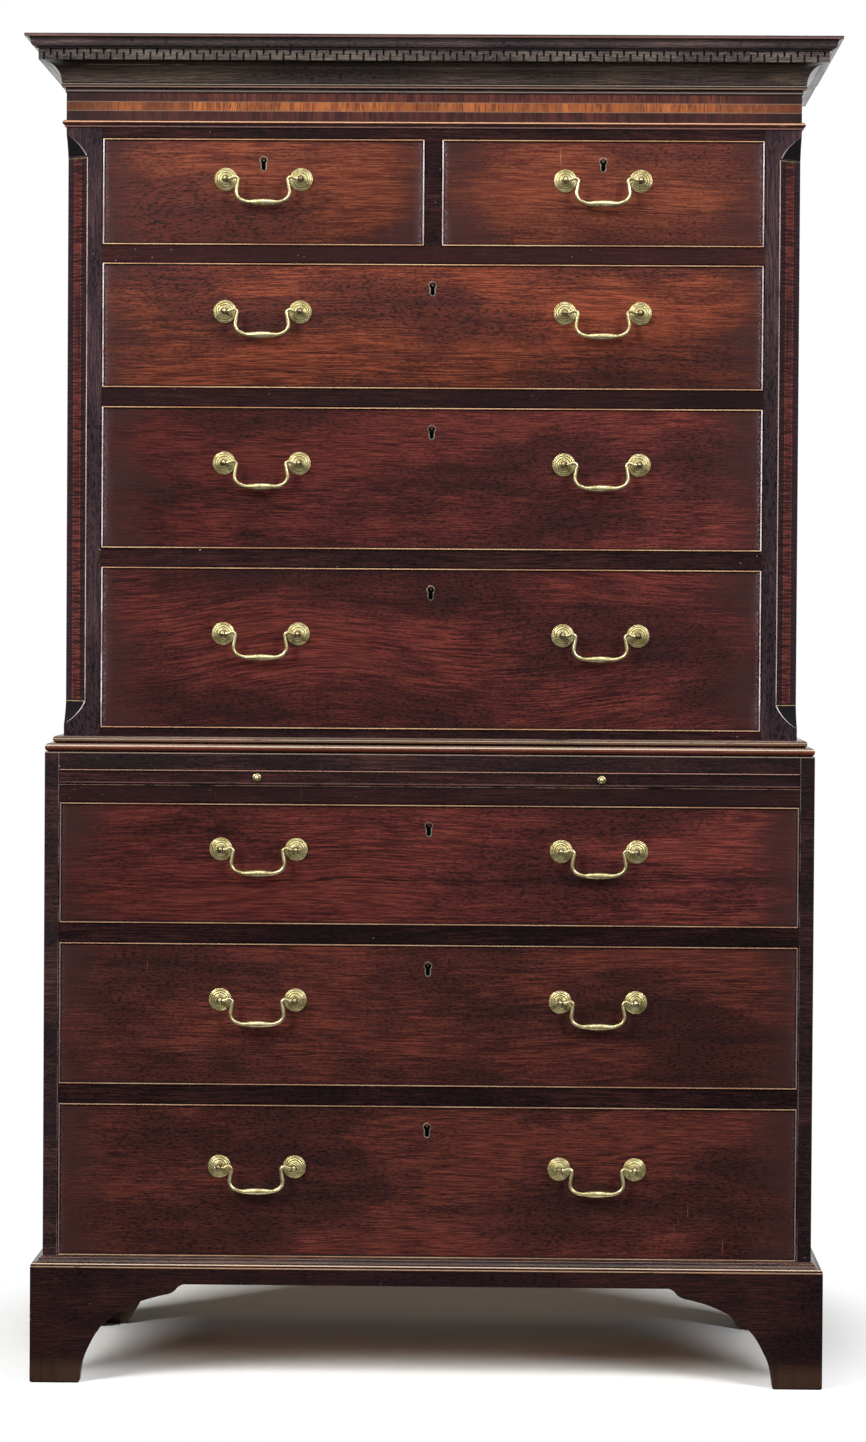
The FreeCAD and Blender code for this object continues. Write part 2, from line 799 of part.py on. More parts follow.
def front_board(drawer):
    """The front, rebated round its edge for the cock beads and bored for its brasses."""
    front = drawer.front
    seat = front + bead_seat
    slab = block((drawer.low_x, drawer.high_x), (seat, front + front_thickness),
                 (drawer.low_z, drawer.high_z))
    inset = bead_thickness
    field = block((drawer.low_x + inset, drawer.high_x - inset), (front, seat),
                  (drawer.low_z + inset, drawer.high_z - inset))
    board = slab.fuse(field).removeSplitter()
    tools = [lock_space(drawer),
             keyhole(drawer.middle, drawer.key_z, front, front + escutcheon_depth, 0.0),
             keyhole(drawer.middle, drawer.key_z, front, front + lock_face_depth,
                     escutcheon_wall)]
    for place in post_places(drawer):
        tools.append(Part.makeCylinder(post_shank_radius + shank_clearance, front_thickness,
                                       place, V(0, 1, 0)))
    return cut_all(board, tools)


def cock_beads(drawer):
    """Four round-nosed strips let into the edges of the front."""
    nose = bead_thickness / 2
    shoulder = bead_proud - nose
    section = [(-bead_seat, 0.0), (shoulder, 0.0),
               ((bead_proud, nose), (shoulder, bead_thickness)), (-bead_seat, bead_thickness)]
    front = drawer.front
    width = drawer.high_x - drawer.low_x
    height = drawer.high_z - drawer.low_z - 2 * bead_thickness
    beads = []
    for low_z in (drawer.low_z, drawer.high_z - bead_thickness):
        beads.append(prism(section, lambda out, up: V(drawer.low_x, front - out, low_z + up),
                           V(width, 0, 0)))
    level = drawer.low_z + bead_thickness
    for low_x in (drawer.low_x, drawer.high_x - bead_thickness):
        beads.append(prism(section, lambda out, over: V(low_x + over, front - out, level),
                           V(0, 0, height)))
    return beads


def drawer_front(drawer):
    return [front_board(drawer)] + cock_beads(drawer)


def drawer_box(drawer):
    """Two sides, a bottom let up between them and a back standing on it."""
    near = drawer.front + front_thickness
    sides_top = drawer.high_z - drawer_side_drop
    thickness = drawer_side_thickness
    left = block((drawer.low_x, drawer.low_x + thickness), (near, drawer.rear),
                 (drawer.low_z, sides_top))
    right = block((drawer.high_x - thickness, drawer.high_x), (near, drawer.rear),
                  (drawer.low_z, sides_top))
    across = (drawer.low_x + thickness, drawer.high_x - thickness)
    underside = drawer.low_z + drawer_bottom_raise
    floor = underside + drawer_bottom_thickness
    bottom = block(across, (near, drawer.rear), (underside, floor))
    back = block(across, (drawer.rear - drawer_back_thickness, drawer.rear),
                 (floor, drawer.high_z - drawer_back_drop))
    return [left, right, bottom, back]


# ------------------------------------------------------------ brasses
def handle_post(place):
    """A turned post: shank through the front, slender neck and pierced round head."""
    inside = -front_thickness - nut_thickness
    head = hinge_standoff
    waist_out = head - math.sqrt(post_head_radius ** 2 - post_neck_radius ** 2)
    tip = head + post_head_radius
    points = [(0.0, inside), (post_shank_radius, inside), (post_shank_radius, 0.0),
              (post_shank_radius, rose_dome), (post_neck_radius, rose_dome),
              (post_neck_radius, waist_out), ((post_head_radius, head), (0.0, tip))]
    post = turned(points, place)
    eye = Part.makeCylinder(pin_radius + pin_clearance, 2 * post_head_radius,
                            place + V(-post_head_radius, -head, 0), V(1, 0, 0))
    return post.cut(eye)


def rose(place):
    """A round backplate, stepped at its rim and domed to the post."""
    hole = post_shank_radius
    rim = rose_radius - 2.0
    shoulder = rim - 1.0
    points = [(hole, 0.0), (rose_radius, 0.0), (rose_radius, rose_edge),
              (rim, rose_step), (shoulder, rose_step - 0.4),
              ((shoulder * 0.66, rose_dome * 0.8), (post_neck_radius + 2.0, rose_dome)),
              (hole, rose_dome)]
    return turned(points, place)


def post_nut(place):
    """The nut that draws the post up from inside the drawer."""
    points = [(post_shank_radius, -front_thickness - nut_thickness),
              (nut_radius, -front_thickness - nut_thickness), (nut_radius, -front_thickness),
              (post_shank_radius, -front_thickness)]
    return turned(points, place)


def escutcheon(drawer):
    """A thread escutcheon: the brass lining of the keyhole, let in almost flush."""
    near = drawer.front - escutcheon_proud
    far = drawer.front + escutcheon_depth
    whole = keyhole(drawer.middle, drawer.key_z, near, far, 0.0)
    return whole.cut(keyhole(drawer.middle, drawer.key_z, near, far, escutcheon_wall))


def lock_case(drawer):
    """The lock's body, with its key recess, drill pin and bolt pocket."""
    near = drawer.front + lock_face_depth
    recess_end = near + key_recess_depth
    body = lock_space(drawer)
    half = bolt_width / 2 + bolt_clearance
    pocket = block((drawer.middle - half, drawer.middle + half),
                   bolt_depths(drawer.front, bolt_clearance),
                   (drawer.high_z - bolt_height - bolt_clearance, drawer.high_z))
    recess = keyhole(drawer.middle, drawer.key_z, near, recess_end, escutcheon_wall)
    pin = Part.makeCylinder(drill_pin_radius, key_recess_depth,
                            V(drawer.middle, near, drawer.key_z), V(0, 1, 0))
    return body.cut(pocket).cut(recess.cut(pin))


def lock_bolt(drawer):
    """The bolt, flush with the top of its lock when drawn."""
    return block((drawer.middle - bolt_width / 2, drawer.middle + bolt_width / 2),
                 bolt_depths(drawer.front, 0.0),
                 (drawer.high_z - bolt_height, drawer.high_z))


def drawer_brasses(drawer):
    solids = []
    for place in post_places(drawer):
        solids += [rose(place), handle_post(place), post_nut(place)]
    return solids + [escutcheon(drawer), lock_case(drawer)]


def bail_corners():
    """Corners and bend radii of half a bail, (sideways, up), from the grip's middle."""
    post = post_spacing / 2
    start = post - post_head_radius - bail_end_gap
    turn_x = post - neck_reach
    return [((0.0, -bail_drop), 0.0), ((grip_half_length, -bail_drop), grip_bend_radius),
            ((leg_half_spacing, leg_foot_height - bail_drop), leg_bend_radius),
            ((turn_x, neck_rise), neck_bend_radius),
            ((start - 2.2 * arm_length, neck_rise), arm_bend_radius),
            ((start - arm_length, 0.0), arm_bend_radius), ((start, 0.0), 0.0)]


def rounded_path(corners):
    """Straight runs through (point, radius) corners, joined by tangent arcs."""
    edges = []
    here = corners[0][0]
    for index in range(1, len(corners) - 1):
        before = corners[index - 1][0]
        point, radius = corners[index]
        after = corners[index + 1][0]
        came = (before - point).normalize()
        goes = (after - point).normalize()
        half_angle = came.getAngle(goes) / 2
        reach = radius / math.tan(half_angle)
        bisector = (came + goes).normalize()
        centre = point + bisector * (radius / math.sin(half_angle))
        first = point + came * reach
        last = point + goes * reach
        edges.append(Part.LineSegment(here, first).toShape())
        edges.append(Part.Arc(first, centre - bisector * radius, last).toShape())
        here = last
    edges.append(Part.LineSegment(here, corners[-1][0]).toShape())
    return Part.Wire(edges)


def bail(centre):
    """A swan-neck bail: a swelled grip, two legs, curled necks and the pins they hang on."""
    half = [(V(x, 0, z), radius) for (x, z), radius in bail_corners()]
    other = [(V(-point.x, 0, point.z), radius) for point, radius in half[:0:-1]]
    path = rounded_path(other + half[1:])
    start = other[0][0]
    profile = Part.Wire(Part.makeCircle(bail_radius, start, V(1, 0, 0)))
    rod = path.makePipeShell([profile], True, False)
    end = grip_half_length
    swell = outline([(-end, 0.0), (-end, bail_radius - 0.1),
                     ((0.0, grip_radius), (end, bail_radius - 0.1)), (end, 0.0)],
                    lambda x, radius: V(x, 0, radius - bail_drop))
    grip = Part.Face(swell).revolve(V(0, 0, -bail_drop), V(1, 0, 0), 360)
    tip = post_spacing / 2 + post_head_radius + pin_overrun
    root = half[-1][0].x - bail_radius
    pin = Part.makeCylinder(pin_radius, tip - root, V(root, 0, 0), V(1, 0, 0))
    whole = rod.fuse([grip, pin, mirrored(pin)])
    whole.translate(centre)
    return whole.Solids


# ------------------------------------------------------------ brushing slide
def slide_floor_level():
    return slide_floor + slide_running_clearance


def knob_places():
    middle = slide_floor_level() + slide_thickness / 2
    return [V(side * knob_spacing / 2, lower_front, middle) for side in (-1, 1)]


def brushing_slide():
    """A board with cross-grained ends and a double-beaded front edge."""
    half = lower_opening_half - slide_clearance
    low = slide_floor_level()
    levels = (low, low + slide_thickness)
    joint = lower_front + slide_edge_depth
    deep = (joint, lower_front + slide_depth)
    inner = half - slide_clamp_width
    panel = block((-inner, inner), deep, levels)
    clamp = block((inner, half), deep, levels)
    radius = slide_bead_radius
    top = slide_thickness
    section = [(-slide_edge_depth, 0.0), (0.0, 0.0),
               ((radius, radius), (0.0, 2 * radius)), (0.0, top - 2 * radius),
               ((radius, top - radius), (0.0, top)), (-slide_edge_depth, top)]
    edge = prism(section, lambda out, up: V(-half, lower_front - out, low + up),
                 V(2 * half, 0, 0))
    bores = [Part.makeCylinder(knob_shank_radius, knob_shank_length, place, V(0, 1, 0))
             for place in knob_places()]
    return [panel, cut_all(edge, bores)] + both_sides(clamp)


def slide_knob(place):
    """A small turned brass pull."""
    rise = math.sqrt(knob_ball_radius ** 2 - knob_neck_radius ** 2)
    middle = knob_reach - knob_ball_radius
    points = [(0.0, -knob_shank_length), (knob_shank_radius, -knob_shank_length),
              (knob_shank_radius, 0.0), (knob_flange_radius, 0.0),
              (knob_flange_radius, knob_flange_thickness * 0.5),
              (knob_neck_radius, knob_flange_thickness),
              (knob_neck_radius, max(middle - rise, knob_flange_thickness + 0.1)),
              ((knob_ball_radius, middle), (0.0, knob_reach))]
    return turned(points, place)


# ------------------------------------------------------------ every node
def main():
    os.makedirs("parts", exist_ok=True)
    save("lower_case_carcase", lower_case_carcase())
    save("lower_case_back", back_boards(lower_opening_half, case_base, waist))
    save("lower_case_rails", lower_case_rails())
    save("waist_moulding", waist_moulding())
    save("base_moulding", base_moulding())
    save("bracket_feet", bracket_feet())
    save("upper_case_carcase", upper_case_carcase())
    save("upper_case_back", back_boards(upper_inner_half, waist, frieze_floor))
    save("upper_case_rails", upper_case_rails())
    save("canted_corners", canted_corners())
    save("frieze", frieze())
    save("cornice", cornice())
    save("brushing_slide", brushing_slide())
    save("slide_knobs", [slide_knob(place) for place in knob_places()])
    for drawer in all_drawers:
        save(drawer.name + "_front", drawer_front(drawer))
        save(drawer.name + "_box", drawer_box(drawer))
        save(drawer.name + "_brasses", drawer_brasses(drawer))
        save(drawer.name + "_lock_bolt", [lock_bolt(drawer)])
        for name, handle in zip(drawer.bail_names(), drawer.handle_xs):
            save(name, bail(V(handle, drawer.axis_y(), drawer.axis_z)))
    print("overall height", overall_height, "front reach", front_reach)


main()
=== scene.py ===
import json
import logging
import math
from dataclasses import dataclass
from enum import Enum
from typing import Any, Callable, Optional, Sequence, Union

import bmesh
import bpy
import numpy as np
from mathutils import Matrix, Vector


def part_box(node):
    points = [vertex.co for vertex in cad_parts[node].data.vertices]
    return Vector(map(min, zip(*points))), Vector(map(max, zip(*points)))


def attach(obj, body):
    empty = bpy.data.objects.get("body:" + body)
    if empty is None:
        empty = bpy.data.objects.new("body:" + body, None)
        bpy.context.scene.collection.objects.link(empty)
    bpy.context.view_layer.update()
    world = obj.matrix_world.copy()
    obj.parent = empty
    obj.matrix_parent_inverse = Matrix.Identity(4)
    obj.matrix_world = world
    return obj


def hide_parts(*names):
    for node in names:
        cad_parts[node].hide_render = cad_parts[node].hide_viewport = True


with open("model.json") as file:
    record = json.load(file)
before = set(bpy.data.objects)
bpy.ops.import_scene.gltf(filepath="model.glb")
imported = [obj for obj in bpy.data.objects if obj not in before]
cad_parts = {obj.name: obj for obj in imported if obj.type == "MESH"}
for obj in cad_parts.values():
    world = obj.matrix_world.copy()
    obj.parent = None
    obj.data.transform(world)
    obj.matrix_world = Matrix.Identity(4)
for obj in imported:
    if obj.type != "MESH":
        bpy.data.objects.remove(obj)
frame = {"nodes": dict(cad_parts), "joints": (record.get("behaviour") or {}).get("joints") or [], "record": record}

# The looks of a mahogany chest on chest. Shapes are in millimetres, as a joiner writes them,
# and become metres when a mesh is made. Finishes are in metres, as a shader reads them.

LOG = logging.getLogger("chest_on_chest")
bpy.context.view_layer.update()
MM = 0.001
TURN = 2 * math.pi
GRAIN_MAP = "grain"             # the UV map that runs along a piece's own grain, in metres
POLISHED = 0.000025             # the depth of the grain under the polish, in metres
SIDE_SHIFT = 2500.0             # how far apart a moulding's sides lie in the map, in mm
BOARD = 20.0                    # the thickness of a carcase board, in mm

Array = np.ndarray
Material = bpy.types.Material
Finishes = dict[str, Material]
Colour = tuple[float, float, float]             # red, green, blue on the screen, 0 to 255
Linear = tuple[float, float, float, float]      # the same for a shader, with its alpha
Number = Union[float, "Value"]
Paint = Union[Colour, Linear, "Value"]
Pair = tuple[float, float]
Step = Union[Pair, tuple[Pair, Pair]]


def shade(colour: Colour, share: float = 1.0, lift: float = 0.0) -> Linear:
    """A shader's linear colour, darkened or lightened.

    Args:
        colour: The colour on the screen.
        share: What its linear levels are multiplied by.
        lift: How much white is added.

    Returns:
        The linear colour, with full alpha.
    """
    levels = [s / 12.92 if s < 0.04045 else ((s + 0.055) / 1.055) ** 2.4
              for s in (level / 255 for level in colour)]
    red, green, blue = (min(1.0, share * level + lift) for level in levels)
    return (red, green, blue, 1.0)


# --- shader expressions
def operation(name: str) -> Callable[..., "Value"]:
    """A method of Value that adds a Math node of that operation."""
    return lambda self, *others: self.graph.node(
        "Math", dict(enumerate((self, *others))), operation=name)


class Value:
    """A number or a colour that varies over a surface. Arithmetic on it adds Math nodes."""

    __add__ = __radd__ = operation("ADD")
    __sub__ = operation("SUBTRACT")
    __mul__ = __rmul__ = operation("MULTIPLY")
    __truediv__ = operation("DIVIDE")
    __abs__ = operation("ABSOLUTE")
    least = operation("MINIMUM")
    most = operation("MAXIMUM")
    over = operation("GREATER_THAN")    # 1 where this is over the limit, else 0
    cycle = operation("FRACT")          # the part after the decimal point
    sine = operation("SINE")
    root = operation("SQRT")

    def __init__(self, graph: "Graph", socket: bpy.types.NodeSocket) -> None:
        """Wraps one output socket of a graph."""
        self.graph = graph
        self.socket = socket

    def __rsub__(self, other: float) -> "Value":
        """other - self."""
        return (self * -1.0) + other

    def rise(self, low: Number, high: Number, top: float = 1.0) -> "Value":
        """A smooth step.

        Args:
            low: Where the step starts from 0.
            high: Where it reaches the top; below low it is a falling step.
            top: The height of the step.

        Returns:
            0 before low, top after high, and smooth between them.
        """
        return self.graph.node("MapRange", {0: self, 1: low, 2: high, 3: 0.0, 4: top},
                               interpolation_type="SMOOTHSTEP")

    def painted(self, *layers: tuple[Number, Paint]) -> "Value":
        """This colour with others laid over it.

        Args:
            layers: Each one's strength, 1 where it covers, and its colour.

        Returns:
            The colour on top.
        """
        colour = self
        for strength, paint in layers:
            colour = self.graph.mix(strength, colour, paint)
        return colour


Point = tuple[Value, Value, Value]


class Graph:
    """The node tree of one finish, built by expressions."""

    def __init__(self, name: str = "", tree: Optional[bpy.types.NodeTree] = None) -> None:
        """Starts an empty material of that name, or clears the tree that is given."""
        if tree is None:
            self.material = bpy.data.materials.new(name)
            self.material.use_nodes = True
            tree = self.material.node_tree
        self.tree = tree
        self.tree.nodes.clear()

    def node(self, kind: str, inputs: dict[Any, Any], output: Union[int, str] = 0,
             **settings: str) -> Value:
        """Adds one node.

        Args:
            kind: The node's type, after "ShaderNode".
            inputs: Numbers, colours or values for its sockets, by index or name.
            output: The socket that is wanted.
            settings: Its properties, which are set first.

        Returns:
            That output as a value.
        """
        made = self.tree.nodes.new("ShaderNode" + kind)
        for key, value in settings.items():
            setattr(made, key, value)
        for key, value in inputs.items():
            if isinstance(value, Value):
                self.tree.links.new(value.socket, made.inputs[key])
            else:
                is_screen = isinstance(value, tuple) and len(value) == 3
                made.inputs[key].default_value = shade(value) if is_screen else value
        return Value(self, made.outputs[output])

    def place(self) -> Point:
        """The point's own x, y and z on the object, in metres."""
        return self.split(self.node("TexCoord", {}, "Object"))

    def grain_map(self) -> Point:
        """The point's (along, across, 0) from the piece's grain map, in metres."""
        return self.split(self.node("UVMap", {}, uv_map=GRAIN_MAP))

    def split(self, vector: Value) -> Point:
        """The three parts of a vector."""
        made = self.node("SeparateXYZ", {0: vector})
        outputs = made.socket.node.outputs
        return (made, Value(self, outputs[1]), Value(self, outputs[2]))

    def noise(self, place: Sequence[Number], scale: Sequence[float], seed: float = 0.0,
              detail: float = 2.0, roughness: float = 0.5) -> Value:
        """Cloudy noise from 0 to 1 about 0.5.

        Args:
            place: The point's coordinates; where two are given, the seed is the third.
            scale: How many clouds there are to a metre along each of them.
            seed: Added to the third coordinate, so that pieces differ.
            detail: How many finer octaves are added.
            roughness: How strong they are.

        Returns:
            The noise.
        """
        parts = [part * share for part, share in zip(place, scale)]
        if len(parts) == 2:
            parts.append(seed)
        elif seed:
            parts[2] = parts[2] + seed
        return self.node("TexNoise", {
            "Vector": self.node("CombineXYZ", dict(enumerate(parts))), "Scale": 1.0,
            "Detail": detail, "Roughness": roughness})

    def mix(self, factor: Number, first: Paint, second: Paint, blend: str = "MIX") -> Value:
        """A colour between two colours.

        Args:
            factor: 0 for the first colour, 1 for the second.
            first: A colour or a value.
            second: A colour or a value.
            blend: How the second is laid over the first.

        Returns:
            The mixed colour.
        """
        return self.node("Mix", {0: factor, 6: first, 7: second}, 2, data_type="RGBA",
                         blend_type=blend)

    def surface(self, colour: Value, roughness: Value, relief: Value, depth: float,
                strength: float = 1.0, **others: Number) -> Material:
        """Ends the graph in one principled surface.

        Args:
            colour: Its base colour.
            roughness: Its roughness.
            relief: Its height, from 0 to 1.
            depth: How deep a relief of 1 is, in metres.
            strength: How much of the relief shows.
            others: The shader's other sockets, with _ for a space.

        Returns:
            The finished material.
        """
        bump = self.node("Bump", {"Height": relief, "Distance": depth, "Strength": strength})
        inputs = {key.replace("_", " "): value for key, value in others.items()}
        inputs.update({"Base Color": colour, "Roughness": roughness, "Normal": bump})
        self.end(self.node("BsdfPrincipled", inputs))
        return self.material

    def end(self, shader: Value, kind: str = "Material") -> None:
        """Joins a shader to the output of the material or the world."""
        made = self.tree.nodes.new("ShaderNodeOutput" + kind)
        self.tree.links.new(shader.socket, made.inputs["Surface"])


# --- finishes
@dataclass
class Look:
    """What a finish says at a point: its colour and how it takes the light."""

    colour: Value
    roughness: Value
    coat: Value
    relief: Value
    gloss: float = 0.25

    def under(self, mask: Value, other: "Look") -> "Look":
        """This look, with another laid over it.

        Args:
            mask: 1 where the other look shows.
            other: The look on top.

        Returns:
            The two together.
        """
        rest = 1.0 - mask
        numbers = (getattr(self, name) * rest + getattr(other, name) * mask
                   for name in ("roughness", "coat", "relief"))
        return Look(self.colour.painted((mask, other.colour)), *numbers, self.gloss)

    def material(self, depth: float = POLISHED) -> Material:
        """Ends the graph in this look, its relief so deep in metres."""
        return self.colour.graph.surface(
            self.colour, self.roughness, self.relief, depth, Coat_Weight=self.coat,
            Coat_Roughness=0.10, IOR=1.47, Specular_IOR_Level=self.gloss)


class Grain(Enum):
    """Which way the fibres run."""

    X = "x"
    Y = "y"
    Z = "z"
    RUN = "run"                 # along the piece's own grain map


def fibres(graph: Graph, grain: Grain) -> Point:
    """The point as (along the fibres, across them, through them).

    Args:
        graph: The finish's graph.
        grain: Which way the fibres run.

    Returns:
        The three distances in metres.
    """
    if grain is Grain.RUN:
        return graph.grain_map()
    x, y, z = graph.place()
    return {Grain.X: (x, z, y), Grain.Y: (y, z, x), Grain.Z: (z, x, y)}[grain]


@dataclass(frozen=True)
class Line:
    """A line along a piece: a painted highlight with some wear, a dark line of painted shade, or a band of tone.
    """

    place: float                # across the piece, in millimetres
    half: float                 # half its width, in millimetres
    colour: Colour
    strength: float = 0.9
    broken: float = 0.30        # 0.3 is nearly whole, 0.5 is half gone
    ends: Optional[Pair] = None  # where along the piece it runs, in millimetres

    def over(self, colour: Value, along: Value, across: Value) -> Value:
        """Draws the line over a colour.

        Args:
            colour: What lies under it.
            along: Metres along the piece.
            across: Metres across the piece.

        Returns:
            The colour with the line on it.
        """
        patch = colour.graph.noise((along, self.place * 3.7), (17.0, 1.0), 0.0, 4.0, 0.65)
        mask = abs(across - self.place * MM).rise(self.half * 1.25 * MM, self.half * 0.55 * MM)
        shown = mask * patch.rise(self.broken - 0.06, self.broken + 0.10, self.strength)
        if self.ends:
            low, high = (end * MM for end in self.ends)
            shown = shown * along.rise(low, low + 0.02) * along.rise(high, high - 0.02)
        return colour.painted((shown, self.colour))


@dataclass(frozen=True)
class Mahogany:
    """Polished mahogany: broad streaks, fine fibres, short pores, clouds and old wear."""

    name: str
    grain: Grain
    light: Colour
    middle: Colour
    dark: Colour
    seed: float = 0.0
    fibre: float = 0.8          # strength of the fine pale fibres
    pores: float = 0.9
    waves: float = 0.0          # strength of the slanting cross figure
    slant: float = 1.0          # how steeply the cross figure leans
    bend: float = 0.02          # how far the grain wanders, in metres
    scratches: float = 0.35
    nicks: float = 0.0          # how bright the small knocks are
    roughness: float = 0.24
    coat: float = 0.10
    gloss: float = 0.25
    lines: tuple[Line, ...] = ()

    def look(self, graph: Graph) -> Look:
        """The wood's look.

        Args:
            graph: The finish's graph.

        Returns:
            Its colour, roughness, coat and relief.
        """
        along, level, deep = fibres(graph, self.grain)
        seed = self.seed
        drift = graph.noise((along, level, deep), (1.7, 3.1, 3.0), seed, 1.0)
        across = level + (drift - 0.5) * (self.bend * 2.0)
        streak, fibre, cloud, pore, rub, seldom = (
            graph.noise((along, across, deep), scale, seed * share, detail, roughness)
            for scale, share, detail, roughness in (
                ((1.3, 46.0, 46.0), 1.0, 6.0, 0.70), ((22.0, 700.0, 700.0), 1.0, 3.0, 0.7),
                ((4.2, 11.0, 11.0), 2.3, 3.0, 0.55), ((150.0, 620.0, 620.0), 1.0, 2.0, 0.5),
                ((430.0, 16.0, 16.0), 1.0, 1.0, 0.5), ((5.0, 8.0, 5.0), 3.1, 2.0, 0.5)))
        tone = streak.rise(0.32, 0.66)
        if self.waves:
            lean = along * 9.0 + across * (9.0 * self.slant) + cloud * 5.0
            ripple = (lean * TURN).sine() * 0.5 + 0.5
            tone = tone * (1.0 - self.waves) + ripple * self.waves
        marks = pore.rise(0.52, 0.59, self.pores) * cloud.rise(0.80, 0.30)
        scratch = rub.rise(0.75, 0.78) * seldom.rise(0.60, 0.68, self.scratches)
        colour = graph.mix(tone, self.dark, self.middle).painted(
            (fibre.rise(0.44, 0.60, self.fibre) * cloud.rise(0.24, 0.60), self.light),
            (cloud.rise(0.60, 0.40, 0.45), self.dark), (marks, shade(self.dark, 0.18)),
            (scratch, shade(self.light, 2.6, 0.03)))
        if self.nicks:
            nick = graph.noise((along, across, deep), (230.0, 300.0, 230.0), seed)
            colour = colour.painted((nick.rise(0.74, 0.78) * seldom.rise(0.50, 0.60, self.nicks),
                                     (172, 158, 150)))
        for line in self.lines:
            colour = line.over(colour, along, level)
        polish = cloud.rise(0.35, 0.70)
        roughness = fibre * 0.08 + marks * 0.08 + (1.0 - polish) * 0.06
        return Look(colour, roughness + (self.roughness - 0.06), polish * self.coat,
                    fibre * 0.5 + streak * 0.5 - marks * 0.8, self.gloss)

    def dress(self) -> Material:
        """Builds the material."""
        return self.look(Graph(self.name)).material()


@dataclass(frozen=True)
class AgedFront:
    """A drawer front: its polish darkens to the border, with painted light, sheen and shade, and dovetailed ends.
    """

    wood: Mahogany
    place: "Place"
    rear: float                 # the y of the front's back, in millimetres
    painted_light: Pair   # painted light: how much brighter the top and the right end are painted
    dovetail_pitch: float = 0.036
    dovetail_length: float = 0.0135
    worn_depth: float = 0.019   # the painted sheen and wear keep to the face, this far before the front's back

    def dress(self) -> Material:
        """Builds the material.

        Returns:
            The material, ready for a slot.
        """
        graph = Graph(self.wood.name)
        look = self.wood.look(graph)
        x, y, z = graph.place()
        (low_x, _, low_z), (high_x, _, high_z) = self.place.low * MM, self.place.high * MM
        rear, seed = self.rear * MM, self.wood.seed
        cloud = graph.noise((x, z), (7.0, 9.0), seed, 3.0)
        streak = graph.noise((x, z), (3.0, 60.0), seed * 1.3, 3.0)
        dirt = graph.noise((x, z), (480.0, 380.0), seed, 3.0, 0.7)
        film = graph.noise((x, z), (30.0, 14.0), seed)
        # painted light: the front is painted brighter towards its top and towards one end
        upward = (z - (low_z + high_z) / 2) * (self.painted_light[0] / (high_z - low_z))
        rightward = (x - (low_x + high_x) / 2) * (self.painted_light[1] / (high_x - low_x))
        near_side = (x - low_x).least(high_x - x)
        near_top = (z - low_z).least(high_z - z)
        frayed = near_side + (cloud - 0.5) * 0.16 + (streak - 0.5) * 0.06
        corner = near_side * 0.55 + near_top + (cloud - 0.5) * 0.06
        # painted sheen with wear: a lilac veil and a pale rubbed band beside the side beads, stronger on the upper
        # chest
        height = z.rise(0.83, 0.95, 0.75) + 0.25
        height = height * y.rise(rear - self.worn_depth + 0.0015, rear - self.worn_depth)
        painted_sheen_veil = near_side.rise(0.020, 0.004, 0.22) * film.rise(0.35, 0.60) * height
        rubbed = near_side.rise(0.0105, 0.0040) * dirt.rise(0.52, 0.62, 0.40) * height
        # painted shade: a dark line on the face just inside the bead
        painted_bead_shade = near_top.rise(0.0054, 0.0034, 0.85).most(near_side.rise(0.0041, 0.0033, 0.7))
        tail = abs(((z - low_z) / self.dovetail_pitch).cycle() - 0.5)
        width = (rear - y) * 6.0 + 0.30
        tails = (width - tail).rise(-0.01, 0.01) * near_side.rise(0.0006, 0.0003)
        behind = (y - (rear - self.dovetail_length)).over(0.0)
        oak = graph.mix(streak, (150, 118, 82), (178, 146, 104))
        look.colour = graph.mix(1.0, look.colour, upward + rightward + 1.0, "MULTIPLY").painted(
            (frayed.rise(0.085, -0.01, 0.76), (46, 27, 26)),
            (corner.rise(0.060, 0.0, 0.60), (46, 27, 26)), (painted_sheen_veil, (84, 66, 70)),
            (rubbed, (142, 124, 126)), (painted_bead_shade, (26, 14, 13)), (tails * behind, oak))
        return look.material()


@dataclass(frozen=True)
class CockBead:
    """The bead round a drawer: its pale nose is a painted highlight with some wear, its flanks are painted black
    as shade.

    The grain map runs along the bead and round its section.
    """

    name: str
    pale: Colour
    worn: Colour
    dark: Colour
    chips: float = 0.6          # how dark the breaks in the pale nose are
    rubbed: float = 0.0003      # how far the pale nose, painted highlight with wear, reaches from its middle, in metres
    dull: float = 0.35          # how much darker it is on the lower chest
    nose: float = 0.01035       # where the nose lies in the map, in metres
    seed: float = 5.0

    def dress(self) -> Material:
        """Builds the material.

        Returns:
            The material, ready for a slot.
        """
        graph = Graph(self.name)
        along, across, _ = graph.grain_map()
        height = graph.place()[2]
        patch = graph.noise((along, height), (6.0, 9.0), self.seed, 4.0, 0.6)
        chip = graph.noise((along, across), (300.0, 500.0), self.seed, 3.0, 0.7)
        # painted shade: away from the nose the flanks are painted near black
        flank = abs(across - self.nose).rise(self.rubbed, self.rubbed + 0.0006)
        colour = graph.mix(patch.rise(0.38, 0.60), self.worn, self.pale).painted(
            (chip.rise(0.54, 0.64, self.chips), self.dark),
            (height.rise(0.95, 0.83, self.dull), self.dark), (flank, (22, 13, 13)))
        return Look(colour, chip * 0.2 + 0.24, patch * 0.2, chip).material()


